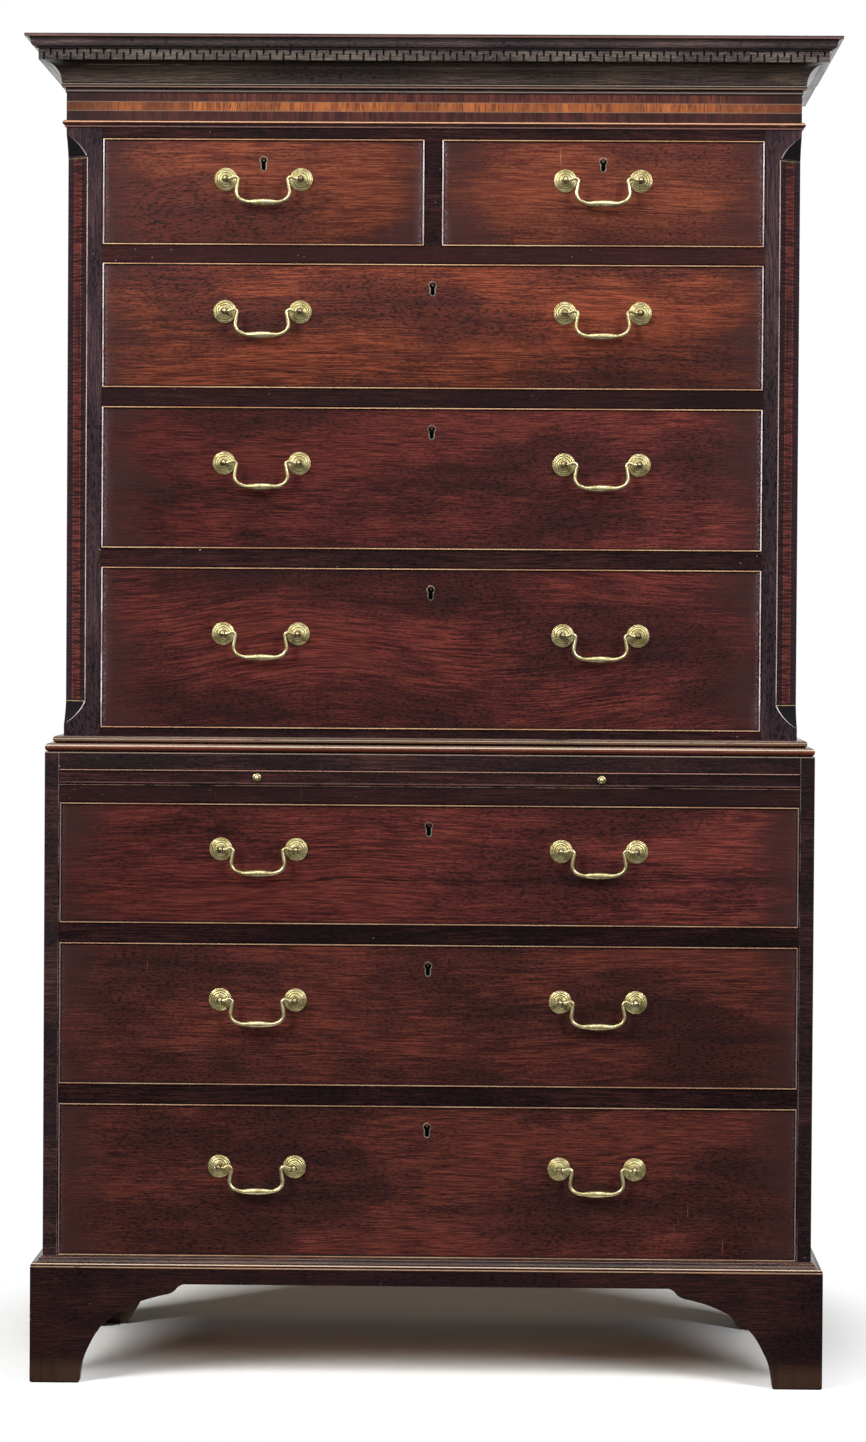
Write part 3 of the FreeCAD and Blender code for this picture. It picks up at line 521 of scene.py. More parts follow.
@dataclass(frozen=True)
class PlainWood:
    """Unpolished timber inside and behind: pale and dusty, with soft growth lines."""

    name: str
    grain: Grain
    pale: Colour
    brown: Colour
    seed: float = 0.0
    rings: float = 70.0         # growth lines to the metre
    relief: float = 0.0003      # the depth of the open grain, in metres

    def look(self, graph: Graph, place: Optional[Point] = None) -> Look:
        """The wood's look.

        Args:
            graph: The finish's graph.
            place: The point as (along, across, through) the fibres, if not by the grain.

        Returns:
            Its colour, roughness, coat and relief.
        """
        place = place or fibres(graph, self.grain)
        drift = graph.noise(place, (1.4, 4.0, 4.0), self.seed)
        fibre = graph.noise(place, (16.0, 420.0, 420.0), 0.0, 3.0, 0.6)
        dust = graph.noise(place, (7.0, 9.0, 9.0), self.seed, 4.0, 0.6)
        ring = ((place[1] + place[2] * 0.6 + drift * 0.10) * self.rings).cycle()
        line = ring.rise(0.0, 0.85) * ring.rise(1.0, 0.9)
        growth = line * 0.40 + fibre.rise(0.4, 0.75, 0.4)
        colour = graph.mix(growth, self.pale, self.brown).painted(
            (dust.rise(0.45, 0.72, 0.55), shade(self.brown, 0.45)))
        relief = fibre * 0.7 + line * 0.3
        return Look(colour, relief * 0.2 + 0.6, dust * 0.0, relief)

    def dress(self) -> Material:
        """Builds the material."""
        return self.look(Graph(self.name)).material(self.relief)


@dataclass(frozen=True)
class DrawerOak:
    """Oak drawer linings: the sides' grain runs back, the bottom's and the back's across."""

    wood: PlainWood
    low_x: float
    high_x: float
    wall: float

    def dress(self) -> Material:
        """Builds the material.

        Returns:
            The material, ready for a slot.
        """
        graph = Graph(self.wood.name)
        x, y, z = graph.place()
        is_side = (x - self.low_x).least(self.high_x - x).rise(self.wall + 0.0002, self.wall)
        lying, side = (self.wood.look(graph, place) for place in ((x, y, z), (y, z, x)))
        return lying.under(is_side, side).material(self.wood.relief)


@dataclass(frozen=True)
class RailsAndRunners:
    """Polished front rails, with plain runners and dust boards behind them."""

    name: str
    split_y: float              # the rails' rear face, in metres
    front: Mahogany
    rear: PlainWood
    lines: tuple[Line, ...] = ()        # lines along the front by height: painted highlights with wear on arrises, painted shade in grooves, and bands of tone

    def dress(self) -> Material:
        """Builds the material.

        Returns:
            The material, ready for a slot.
        """
        graph = Graph(self.name)
        x, y, z = graph.place()
        behind = (y - self.split_y).over(0.0)
        polished = self.front.look(graph)
        for line in self.lines:
            polished.colour = line.over(polished.colour, x, z)
        return polished.under(behind, self.rear.look(graph)).material()


@dataclass(frozen=True)
class CaseBoards:
    """A carcase: upright grain on the sides, and across on the top and bottom boards."""

    name: str
    inner_half: float           # half the width between the sides, in metres
    front: float                # the y of the boards' front edges, in metres
    wood: Mahogany
    edge: Mahogany              # the boards' front edges, dark as the rails
    inside: PlainWood
    top: float                  # the height of the pale painted highlight along the upper arris, in millimetres
    edge_depth: float = 0.030

    def dress(self) -> Material:
        """Builds the material.

        Returns:
            The material, ready for a slot.
        """
        graph = Graph(self.name)
        x, y, z = graph.place()
        lying = abs(x).rise(self.inner_half + 0.0003, self.inner_half)
        stile = (y - (self.front + 0.0006)).rise(0.0002, 0.0)
        shelf_edge = (y - (self.front + self.edge_depth)).rise(0.0002, 0.0) * lying
        edge = self.edge.look(graph)
        # a pale line of painted sheen with wear up the inner arris of the sides' front edges
        joint = Line(self.inner_half / MM + 0.4, 0.5, (104, 92, 94), 0.7, 0.46)
        # painted shade: the front edges are painted lighter at the left and darker to the right
        colour = graph.mix(1.0, edge.colour, 1.05 - x * 0.45, "MULTIPLY")
        colour = joint.over(colour, z, abs(x))
        # painted highlight: a pale line along the upper arris
        edge.colour = Line(self.top, 0.8, (122, 104, 92)).over(colour, x, z)
        look = self.wood.look(graph).under(lying, self.inside.look(graph))
        return look.under(stile.most(shelf_edge), edge).material()


@dataclass(frozen=True)
class PostWood:
    """A corner post: its scooped stops are painted black as shade, and their curved arris is painted white, a
    painted highlight with wear.

    The grain map runs up the post, and over the stop from 0 at the inner arris.
    """

    wood: Mahogany
    width: float                # of the stop in the map, in metres

    def dress(self) -> Material:
        """Builds the material.

        Returns:
            The material, ready for a slot.
        """
        graph = Graph(self.wood.name)
        look = self.wood.look(graph)
        over = graph.grain_map()[1]
        # painted shade in the scooped stops, and a painted highlight with wear along their arris
        scooped = over.rise(0.0, 0.0002) * over.rise(self.width + 0.0004, self.width)
        edge = over.rise(0.0001, 0.0003) * over.rise(0.0030, 0.0018)
        look.roughness = look.roughness + scooped * 0.35
        look.coat = look.coat * (1.0 - scooped)
        look.colour = look.colour.painted((scooped * 0.95, (15, 12, 16)),
                                          (edge * 0.9, (196, 184, 186)))
        return look.material()


@dataclass(frozen=True)
class CantVeneer:
    """The canted face: three cross-banded strips parted by dotted stringing.

    The grain map runs up the post and across its face, from the inner arris.
    """

    name: str
    low_z: float
    high_z: float
    width: float
    ground: Mahogany

    def dress(self) -> Material:
        """Builds the material.

        Returns:
            The material, ready for a slot.
        """
        graph = Graph(self.name)
        look = self.ground.look(graph)
        up, over, _ = graph.grain_map()
        share = over / self.width
        tick = graph.noise((up, over), (430.0, 30.0), 3.0)
        patch = graph.noise((up, over), (7.0, 40.0), 8.0, 4.0, 0.6)
        red = graph.mix(tick.rise(0.40, 0.60), (50, 24, 26), (98, 48, 42))
        plum = graph.mix(tick.rise(0.35, 0.65), (30, 19, 21), (54, 32, 32))
        ink = graph.mix(tick.rise(0.35, 0.65), (32, 22, 27), (54, 36, 41))
        dash = (up * 190.0).cycle().rise(0.35, 0.45)
        string = abs(share - 0.33).least(abs(share - 0.68)).rise(0.020, 0.010)
        end = (up - self.low_z).least(self.high_z - up)
        colour = plum.painted(
            (share.rise(0.325, 0.335), red), (share.rise(0.675, 0.685), ink),
            (patch.rise(0.46, 0.66, 0.75), (38, 24, 26)),
            (string * dash * tick.rise(0.3, 0.6, 0.6), (140, 98, 72)),
            (over.rise(0.0036, 0.0030), (15, 11, 13)),
            # painted highlight with wear along the inner arris
            (over.rise(0.0022, 0.0016) * patch.rise(0.70, 0.45), (184, 162, 160)),
            (end.rise(0.0012, 0.0006) * patch.rise(0.40, 0.55, 0.8), (176, 160, 112)))
        look.colour = look.colour.painted((end.over(0.0), colour))
        return look.material()


@dataclass(frozen=True)
class CrossBand:
    """Cross-banded veneer: fibres stand across the run, with dark ticks and clouds.

    The grain map runs along the band and up it.
    """

    name: str
    pale: Colour
    middle: Colour
    dark: Colour
    height: float
    seed: float
    shift: float                # the map's place at the middle of the front, in metres
    stringing: bool = False     # a dashed string along both edges
    figure: float = 3.0         # clouds to the metre
    ticks: float = 0.8          # how dark the short ticks are
    reach: float = 0.512        # half the band's length across the front, in metres

    def dress(self) -> Material:
        """Builds the material.

        Returns:
            The material, ready for a slot.
        """
        graph = Graph(self.name)
        along, up, _ = graph.grain_map()
        fibre, leaf, cloud = (
            graph.noise((along, up), scale, self.seed + more, detail, roughness)
            for scale, more, detail, roughness in (
                ((480.0, 40.0), 0.0, 2.0, 0.6), ((58.0, 8.0), 4.0, 3.0, 0.7),
                ((self.figure, 3.0), 9.0, 2.0, 0.5)))
        smoked = abs(along - self.shift).rise(self.reach - 0.13, self.reach, 0.75)
        colour = graph.mix(leaf.rise(0.38, 0.62), self.middle, self.pale).painted(
            (cloud.rise(0.42, 0.66, 0.75), self.dark), (smoked, shade(self.dark, 0.7)),
            (fibre.rise(0.53, 0.64, self.ticks), shade(self.dark, 0.5)))
        if self.stringing:
            dash = (along * 330.0).cycle().rise(0.40, 0.55)
            colour = colour.painted((up.least(self.height - up).rise(0.0014, 0.0009, 0.8),
                                     graph.mix(dash, (46, 30, 24), (134, 114, 96))))
        return Look(colour, fibre * 0.15 + 0.27, cloud * 0.0 + 0.25, fibre).material(0.00006)


@dataclass(frozen=True)
class Brass:
    """Old lacquerless brass: pale and rubbed bright, brown in the hollows and pitted."""

    name: str
    pale: Colour
    deep: Colour
    tarnish: Colour
    age: float
    roughness: float
    rings: float = 0.0          # how dark the turned rings are, 2.6 mm apart
    metallic: float = 0.82      # the rest is dull film

    def dress(self) -> Material:
        """Builds the material.

        Returns:
            The material, ready for a slot.
        """
        graph = Graph(self.name)
        place = graph.place()
        cloud, speck = (graph.noise(place, (size,) * 3, 0.0, 3.0, 0.6) for size in (90.0, 420.0))
        colour = graph.mix(cloud.rise(0.38, 0.62), self.pale, self.deep)
        if self.rings:
            ring = (graph.grain_map()[1] * (TURN / 0.0026)).sine()
            colour = colour.painted((ring.rise(0.1, 1.0, self.rings), self.tarnish))
        colour = colour.painted((speck.rise(0.50, 0.70, self.age), self.tarnish))
        roughness = cloud * 0.14 + speck.rise(0.5, 0.8, 0.2) + (self.roughness - 0.07)
        return graph.surface(colour, roughness, speck, 0.00004, 0.6, Metallic=self.metallic)


@dataclass(frozen=True)
class Iron:
    """Dull dark steel of the locks and bolts, with a bloom of rust."""

    name: str

    def dress(self) -> Material:
        """Builds the material.

        Returns:
            The material, ready for a slot.
        """
        graph = Graph(self.name)
        place = graph.place()
        cloud = graph.noise(place, (90.0,) * 3, 0.0, 4.0, 0.65)
        filing = graph.noise(place, (200.0, 200.0, 2600.0))
        colour = graph.mix(cloud.rise(0.45, 0.70, 0.8), (118, 112, 106), (74, 48, 34))
        return graph.surface(colour, cloud * 0.4 + 0.25, filing, 0.00005, 0.7,
                             Metallic=cloud.rise(0.70, 0.45))


# --- surfaces
def at(*parts: Union[float, Array]) -> Array:
    """Points from their coordinates, which are numbers or arrays that match."""
    return np.stack(np.broadcast_arrays(*parts), -1)


def upright(flat: Array, y: Union[float, Array]) -> Array:
    """Points (x, z) stood up at that y."""
    return at(flat[..., 0], y, flat[..., 1])


def quads(rows: int, columns: int) -> Array:
    """The numbers of the corners of each quad in a grid of points, shape (quads, 4)."""
    index = np.arange(rows * columns).reshape(rows, columns)
    corners = [index[:-1, :-1], index[1:, :-1], index[1:, 1:], index[:-1, 1:]]
    return np.stack(corners, -1).reshape(-1, 4)


class Shell:
    """One closed skin, gathered from grids of points and flat caps, in millimetres."""

    def __init__(self) -> None:
        """Starts an empty skin."""
        self.points: list[Array] = []
        self.faces: list[list[int]] = []
        self.maps: list[Array] = []
        self.slots: list[int] = []
        self.count = 0

    def grid(self, points: Array, grain: Optional[Array] = None, slot: int = 0) -> "Shell":
        """Adds a grid of quads.

        Args:
            points: Points of shape (rows, columns, 3); a closed round repeats its first.
            grain: The grain map in millimetres, shape (rows, columns, 2).
            slot: Which material the faces take.

        Returns:
            The shell itself.
        """
        rows, columns = points.shape[:2]
        faces = quads(rows, columns)
        flat = np.zeros((rows, columns, 2)) if grain is None else grain
        self.points.append(points.reshape(-1, 3))
        self.maps.append(flat.reshape(-1, 2)[faces.ravel()])
        self.faces += (faces + self.count).tolist()
        self.slots += [slot] * len(faces)
        self.count += rows * columns
        return self

    def cap(self, points: Array, slot: int = 0, grain: Optional[Array] = None) -> "Shell":
        """Closes an end with one flat face.

        Args:
            points: The face's outline, shape (corners, 3).
            slot: Which material the face takes.
            grain: The grain map in millimetres, shape (corners, 2).

        Returns:
            The shell itself.
        """
        self.points.append(points)
        self.maps.append(np.zeros((len(points), 2)) if grain is None else grain)
        self.faces.append(list(range(self.count, self.count + len(points))))
        self.slots.append(slot)
        self.count += len(points)
        return self

    def add_to(self, whole: bmesh.types.BMesh) -> None:
        """Welds the skin shut, turns its faces outward and adds it to a piece."""
        mesh = bpy.data.meshes.new("skin")
        mesh.from_pydata((np.vstack(self.points) * MM).tolist(), [], self.faces)
        layer = mesh.uv_layers.new(name=GRAIN_MAP)
        layer.data.foreach_set("uv", (np.vstack(self.maps) * MM).astype(np.float32).ravel())
        mesh.polygons.foreach_set("material_index", self.slots)
        skin = bmesh.new()
        skin.from_mesh(mesh)
        bmesh.ops.remove_doubles(skin, verts=skin.verts, dist=2e-6)
        bmesh.ops.dissolve_degenerate(skin, edges=skin.edges, dist=1e-7)
        bmesh.ops.recalc_face_normals(skin, faces=skin.faces)
        skin.to_mesh(mesh)
        skin.free()
        whole.from_mesh(mesh)
        bpy.data.meshes.remove(mesh)


def in_scene(name: str, data: bpy.types.ID) -> bpy.types.Object:
    """Puts a mesh, a lamp or a camera into the scene, at the origin."""
    piece = bpy.data.objects.new(name, data)
    bpy.context.scene.collection.objects.link(piece)
    return piece


def make(name: str, shells: Sequence[Shell], finishes: Sequence[Material], body: str,
         slot: str, *nodes: str, angle: float = 28.0) -> None:
    """Makes one piece of several closed skins, puts it on its body and logs it.

    Args:
        name: The piece's name.
        shells: Its skins.
        finishes: Its materials, in the order of the skins' slots.
        body: The body it moves with.
        slot: The record's material slot; not used.
        nodes: The nodes that it stands for.
        angle: Edges sharper than this many degrees stay crisp.
    """
    whole = bmesh.new()
    for shell in shells:
        shell.add_to(whole)
    mesh = bpy.data.meshes.new(name)
    whole.to_mesh(mesh)
    whole.free()
    for finish in finishes:
        mesh.materials.append(finish)
    mesh.polygons.foreach_set("use_smooth", [True] * len(mesh.polygons))
    mesh.set_sharp_from_angle(angle=math.radians(angle))
    piece = in_scene(name, mesh)
    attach(piece, body)
    if nodes:
        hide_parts(*nodes)
    LOG.info("%s: %d faces on %s", name, len(mesh.polygons), body)


def dress_node(node: str, finish: Material) -> None:
    """Gives a node that keeps its own shape a better finish."""
    for slot in frame["nodes"][node].material_slots:
        slot.material = finish
    LOG.info("%s: dressed", node)


def bow(start: Array, via: Array, end: Array, count: int) -> Array:
    """Points on the arc from start through via to end, without the start.

    The centre is where the bisectors of both chords meet; the angle runs evenly from the
    first point through the middle one to the last.

    Args:
        start: First point of the arc.
        via: A point that it passes through.
        end: Last point of the arc.
        count: How many points to give.

    Returns:
        Points of shape (count, 2).
    """
    across = np.array([via - start, end - start])
    middle = np.array([np.dot(via, via) - np.dot(start, start),
                       np.dot(end, end) - np.dot(start, start)]) / 2
    centre = np.linalg.solve(across, middle)
    radius = np.linalg.norm(start - centre)
    angles = [math.atan2(*(point - centre)[::-1]) for point in (start, via, end)]
    first = (angles[1] - angles[0]) % TURN
    whole = (angles[2] - angles[0]) % TURN
    if first > whole:
        whole -= TURN
    sweep = angles[0] + whole * np.linspace(0, 1, count + 1)[1:]
    return centre + radius * np.stack([np.cos(sweep), np.sin(sweep)], -1)


def trace(steps: Sequence[Step], count: int = 8) -> Array:
    """The points of an outline.

    Args:
        steps: Points (u, v); a pair of points is an arc through the first to the second.
        count: Points to each arc.

    Returns:
        Points of shape (number, 2).
    """
    points = [np.array(steps[0], float)[None]]
    for step in steps[1:]:
        if isinstance(step[0], tuple):
            via, end = np.array(step, float)
            points.append(bow(points[-1][-1], via, end, count))
        else:
            points.append(np.array(step, float)[None])
    return np.vstack(points)


def flow(points: Sequence[Pair], count: int = 5) -> Array:
    """A smooth line through points: a Catmull-Rom cubic from each to the next.

    Args:
        points: The points (u, v) in order.
        count: Steps from each point to the next.

    Returns:
        Points of shape (number, 2).
    """
    known = np.array([points[0], *points, points[-1]], float)
    a, b, c, d = known[:-3], known[1:-2], known[2:-1], known[3:]
    t = np.linspace(0, 1, count, endpoint=False)[:, None, None]
    cubic = (2 * b + (c - a) * t + (2 * a - 5 * b + 4 * c - d) * t ** 2
             + (3 * b - a - 3 * c + d) * t ** 3) / 2
    return np.vstack([cubic.transpose(1, 0, 2).reshape(-1, 2), known[-1]])


def lengths(points: Array) -> Array:
    """The distance run along a line of points, from 0 at the first."""
    steps = np.linalg.norm(np.diff(points, axis=0), axis=-1)
    return np.concatenate([[0.0], np.cumsum(steps)])


def box_shell(x: Sequence[float], y: Sequence[float], z: Sequence[float],
              ease: float = 0.6, slot: int = 0) -> Shell:
    """A board with eased arrises.

    Each level of the board is a rectangle whose corners are cut at 45 degrees by the ease,
    and the first and last levels are drawn in by the ease.

    Args:
        x: Low and high x.
        y: Low and high y.
        z: Low and high z.
        ease: How much each arris loses.
        slot: Which material it takes.

    Returns:
        The closed skin.
    """
    rows = []
    for level, inset in ((z[0], ease), (z[0] + ease, 0.0), (z[1] - ease, 0.0), (z[1], ease)):
        low_x, high_x, low_y, high_y = x[0] + inset, x[1] - inset, y[0] + inset, y[1] - inset
        ring = [(low_x + ease, low_y), (high_x - ease, low_y), (high_x, low_y + ease),
                (high_x, high_y - ease), (high_x - ease, high_y), (low_x + ease, high_y),
                (low_x, high_y - ease), (low_x, low_y + ease), (low_x + ease, low_y)]
        rows.append([(a, b, level) for a, b in ring])
    points = np.array(rows)
    return Shell().grid(points, slot=slot).cap(points[0, :-1], slot).cap(points[-1, :-1], slot)


def turned_shell(profile: Array, centre: Sequence[float], count: int = 28,
                 slot: int = 0) -> Shell:
    """A piece turned about an axis that leaves the front.

    The point at (radius, outward) of the profile and angle a is
    centre + (radius cos a, -outward, radius sin a).

    Args:
        profile: Points (radius, outward); its ends lie on the axis or meet.
        centre: Where the axis meets outward 0.
        count: Faces round the axis.
        slot: Which material it takes.

    Returns:
        The closed skin.
    """
    angle = np.linspace(0, TURN, count + 1)
    radius, outward = profile[:, :1], profile[:, 1:]
    points = at(radius * np.cos(angle), -outward, radius * np.sin(angle)) + np.array(centre)
    return Shell().grid(points, at(angle * radius.max(), lengths(profile)[:, None]), slot)


def rod_shell(path: Array, radii: Array, centre: Sequence[float], count: int = 14) -> Shell:
    """A rod that follows a path in an upright plane.

    The point at path point p and angle a is p + radius (cos a) n + radius (sin a) y, where
    n stands square to the path in its plane.

    Args:
        path: Points (x, z) about the centre.
        radii: The rod's radius at each point.
        centre: Where (0, 0) is.
        count: Faces round the rod.

    Returns:
        The closed skin.
    """
    ahead = np.gradient(path, axis=0)
    ahead /= np.linalg.norm(ahead, axis=1)[:, None]
    angle = np.linspace(0, TURN, count + 1)
    side = radii[:, None] * np.cos(angle)
    points = at(path[:, :1] - ahead[:, 1:] * side, radii[:, None] * np.sin(angle),
                path[:, 1:] + ahead[:, :1] * side) + np.array(centre)
    shell = Shell().grid(points, at(lengths(path)[:, None], 2.4 * angle))
    return shell.cap(points[0, :-1]).cap(points[-1, :-1])


def board(inner: float, outer: float, height: float) -> Array:
    """The section of a plain board, (outward, upward)."""
    return np.array([(inner, 0.0), (outer, 0.0), (outer, height), (inner, height)])


def worn(run: Array, seed: float) -> Array:
    """How much an arris has been rubbed at each place along it, from 0 to 1.

    Four sine waves of falling length and growing number are added and squared.

    Args:
        run: Distances along the arris in millimetres.
        seed: Which arris it is.

    Returns:
        The wear at each distance.
    """
    waves = sum(np.sin(run / length + seed * phase) / (index + 1.5)
                for index, (length, phase) in enumerate([(61, 1.3), (23, 2.9), (9.7, 4.1),
                                                         (4.3, 7.7)]))
    return np.clip(0.5 + 0.35 * waves, 0, 1) ** 2


@dataclass
class CaseEdge:
    """The plan of a case: half its width, its front and its back."""

    half: float
    front: float
    back: float

    def grown(self, out: float) -> "CaseEdge":
        """The plan of what stands out from the case by that much."""
        return CaseEdge(self.half + out, self.front - out, self.back)

    def along(self, side: int, run: Array, out: Union[float, Array], up: Array) -> Array:
        """Points on the front (side 0) or on a flank (side -1 or 1).

        Args:
            side: Which face.
            run: Distances along it, from the left end or from the front.
            out: How far outside the plan.
            up: Heights.

        Returns:
            The points.
        """
        if side:
            return at(side * (self.half + out), self.front + run, up)
        return at(run - self.half, self.front - out, up)

    def run(self, section: Array, low: float, slot: int = 0, shift: float = 0.0) -> Shell:
        """A moulding carried round the left side, the front and the right side.

        At each corner the point (out, up) of the section lies at corner + out * direction,
        where the direction is (-1, -1) or (1, -1) at the mitres and square to the side at
        the back ends.

        Args:
            section: The outline's points, (outward, upward from low).
            low: The z of the section's zero.
            slot: Which material it takes.
            shift: Moves the grain map along, so that pieces differ.

        Returns:
            The closed skin.
        """
        closed = np.vstack([section, section[:1]])
        x, y, across, ahead = np.array([
            (-self.half, self.back, -1, 0), (-self.half, self.front, -1, -1),
            (self.half, self.front, 1, -1), (self.half, self.back, 1, 0)], float).T[..., None]
        out, up = closed.T
        rows = at(x + across * out, y + ahead * out, low + up)
        shell = Shell()
        for index in range(3):
            pair = rows[index:index + 2]
            run = pair[..., 0 if index == 1 else 1]
            shell.grid(pair, at(run + shift + SIDE_SHIFT * index, lengths(closed)), slot)
        return shell.cap(rows[0, :-1], slot).cap(rows[-1, :-1], slot)


@dataclass
class Piece:
    """A sub-assembly of the chest, with the finishes to dress it in."""

    finishes: Finishes

    def wear(self, *uses: str) -> list[Material]:
        """Its finishes for those uses."""
        return [self.finishes[use] for use in uses]


# --- drawers
@dataclass
class Place:
    """Where a node lies, in millimetres."""

    low: Array
    high: Array

    @classmethod
    def of(cls, node: str) -> "Place":
        """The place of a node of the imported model."""
        low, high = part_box(node)
        return cls(np.array(low) / MM, np.array(high) / MM)

    @property
    def middle(self) -> Array:
        """Half way between the corners."""
        return (self.low + self.high) / 2


@dataclass
class Keyhole:
    """A round hole for the key's barrel over a slot for its bit."""

    x: float
    z: float
    radius: float = 6.0
    foot: float = 4.4
    length: float = 11.0
    pivot: float = 5.0          # the point that the outline is seen from, below the barrel
    wall: float = 1.5           # of the brass lining

    def reach(self, angles: Array, margin: float) -> Array:
        """How far the outline is from the pivot.

        The outline joins two circles and the slot between them. A ray from the pivot
        leaves a circle of radius r and centre c at b + sqrt(b b - c c + r r), where b is
        the centre's distance along the ray, and leaves the slot at its side.

        Args:
            angles: Directions of the rays.
            margin: How far inside the full outline.

        Returns:
            The distances.
        """
        ray = at(np.cos(angles), np.sin(angles))
        far = np.zeros(len(angles))
        for centre, radius in ((self.pivot, self.radius - margin),
                               (self.pivot - self.length, self.foot - margin)):
            along = ray[:, 1] * centre
            inside = along ** 2 - centre ** 2 + radius ** 2
            leaves = along + np.sqrt(np.clip(inside, 0, None))
            far = np.maximum(far, np.where((inside > 0) & (leaves > 0), leaves, 0))
        half = self.foot - margin
        side = half / np.clip(np.abs(ray[:, 0]), 1e-6, None)
        end = np.where(ray[:, 1] > 0, self.pivot, self.length - self.pivot)
        level = end / np.clip(np.abs(ray[:, 1]), 1e-6, None)
        return np.maximum(far, np.minimum(side, level))

    def outline(self, angles: Array, margin: float) -> Array:
        """The outline's points (x, z) in those directions."""
        reach = self.reach(angles, margin)[:, None]
        return (np.array([self.x, self.z - self.pivot])
                + reach * at(np.cos(angles), np.sin(angles)))

    def thread(self, front: float, proud: float = 0.4, depth: float = 3.0) -> Shell:
        """The brass lining that is let in round the hole.

        Args:
            front: The y of the drawer's face.
            proud: How far it stands out of the wood.
            depth: How deep it is let in.

        Returns:
            The closed skin.
        """
        angles, wall = np.linspace(0, TURN, 73), self.wall
        section = [(0.0, -depth), (0.0, 0.0), (0.35, proud * 0.8), (wall * 0.5, proud),
                   (wall - 0.35, proud * 0.8), (wall, 0.0), (wall, -depth), (0.0, -depth)]
        return Shell().grid(np.array([upright(self.outline(angles, margin), front - out)
                                      for margin, out in section]))


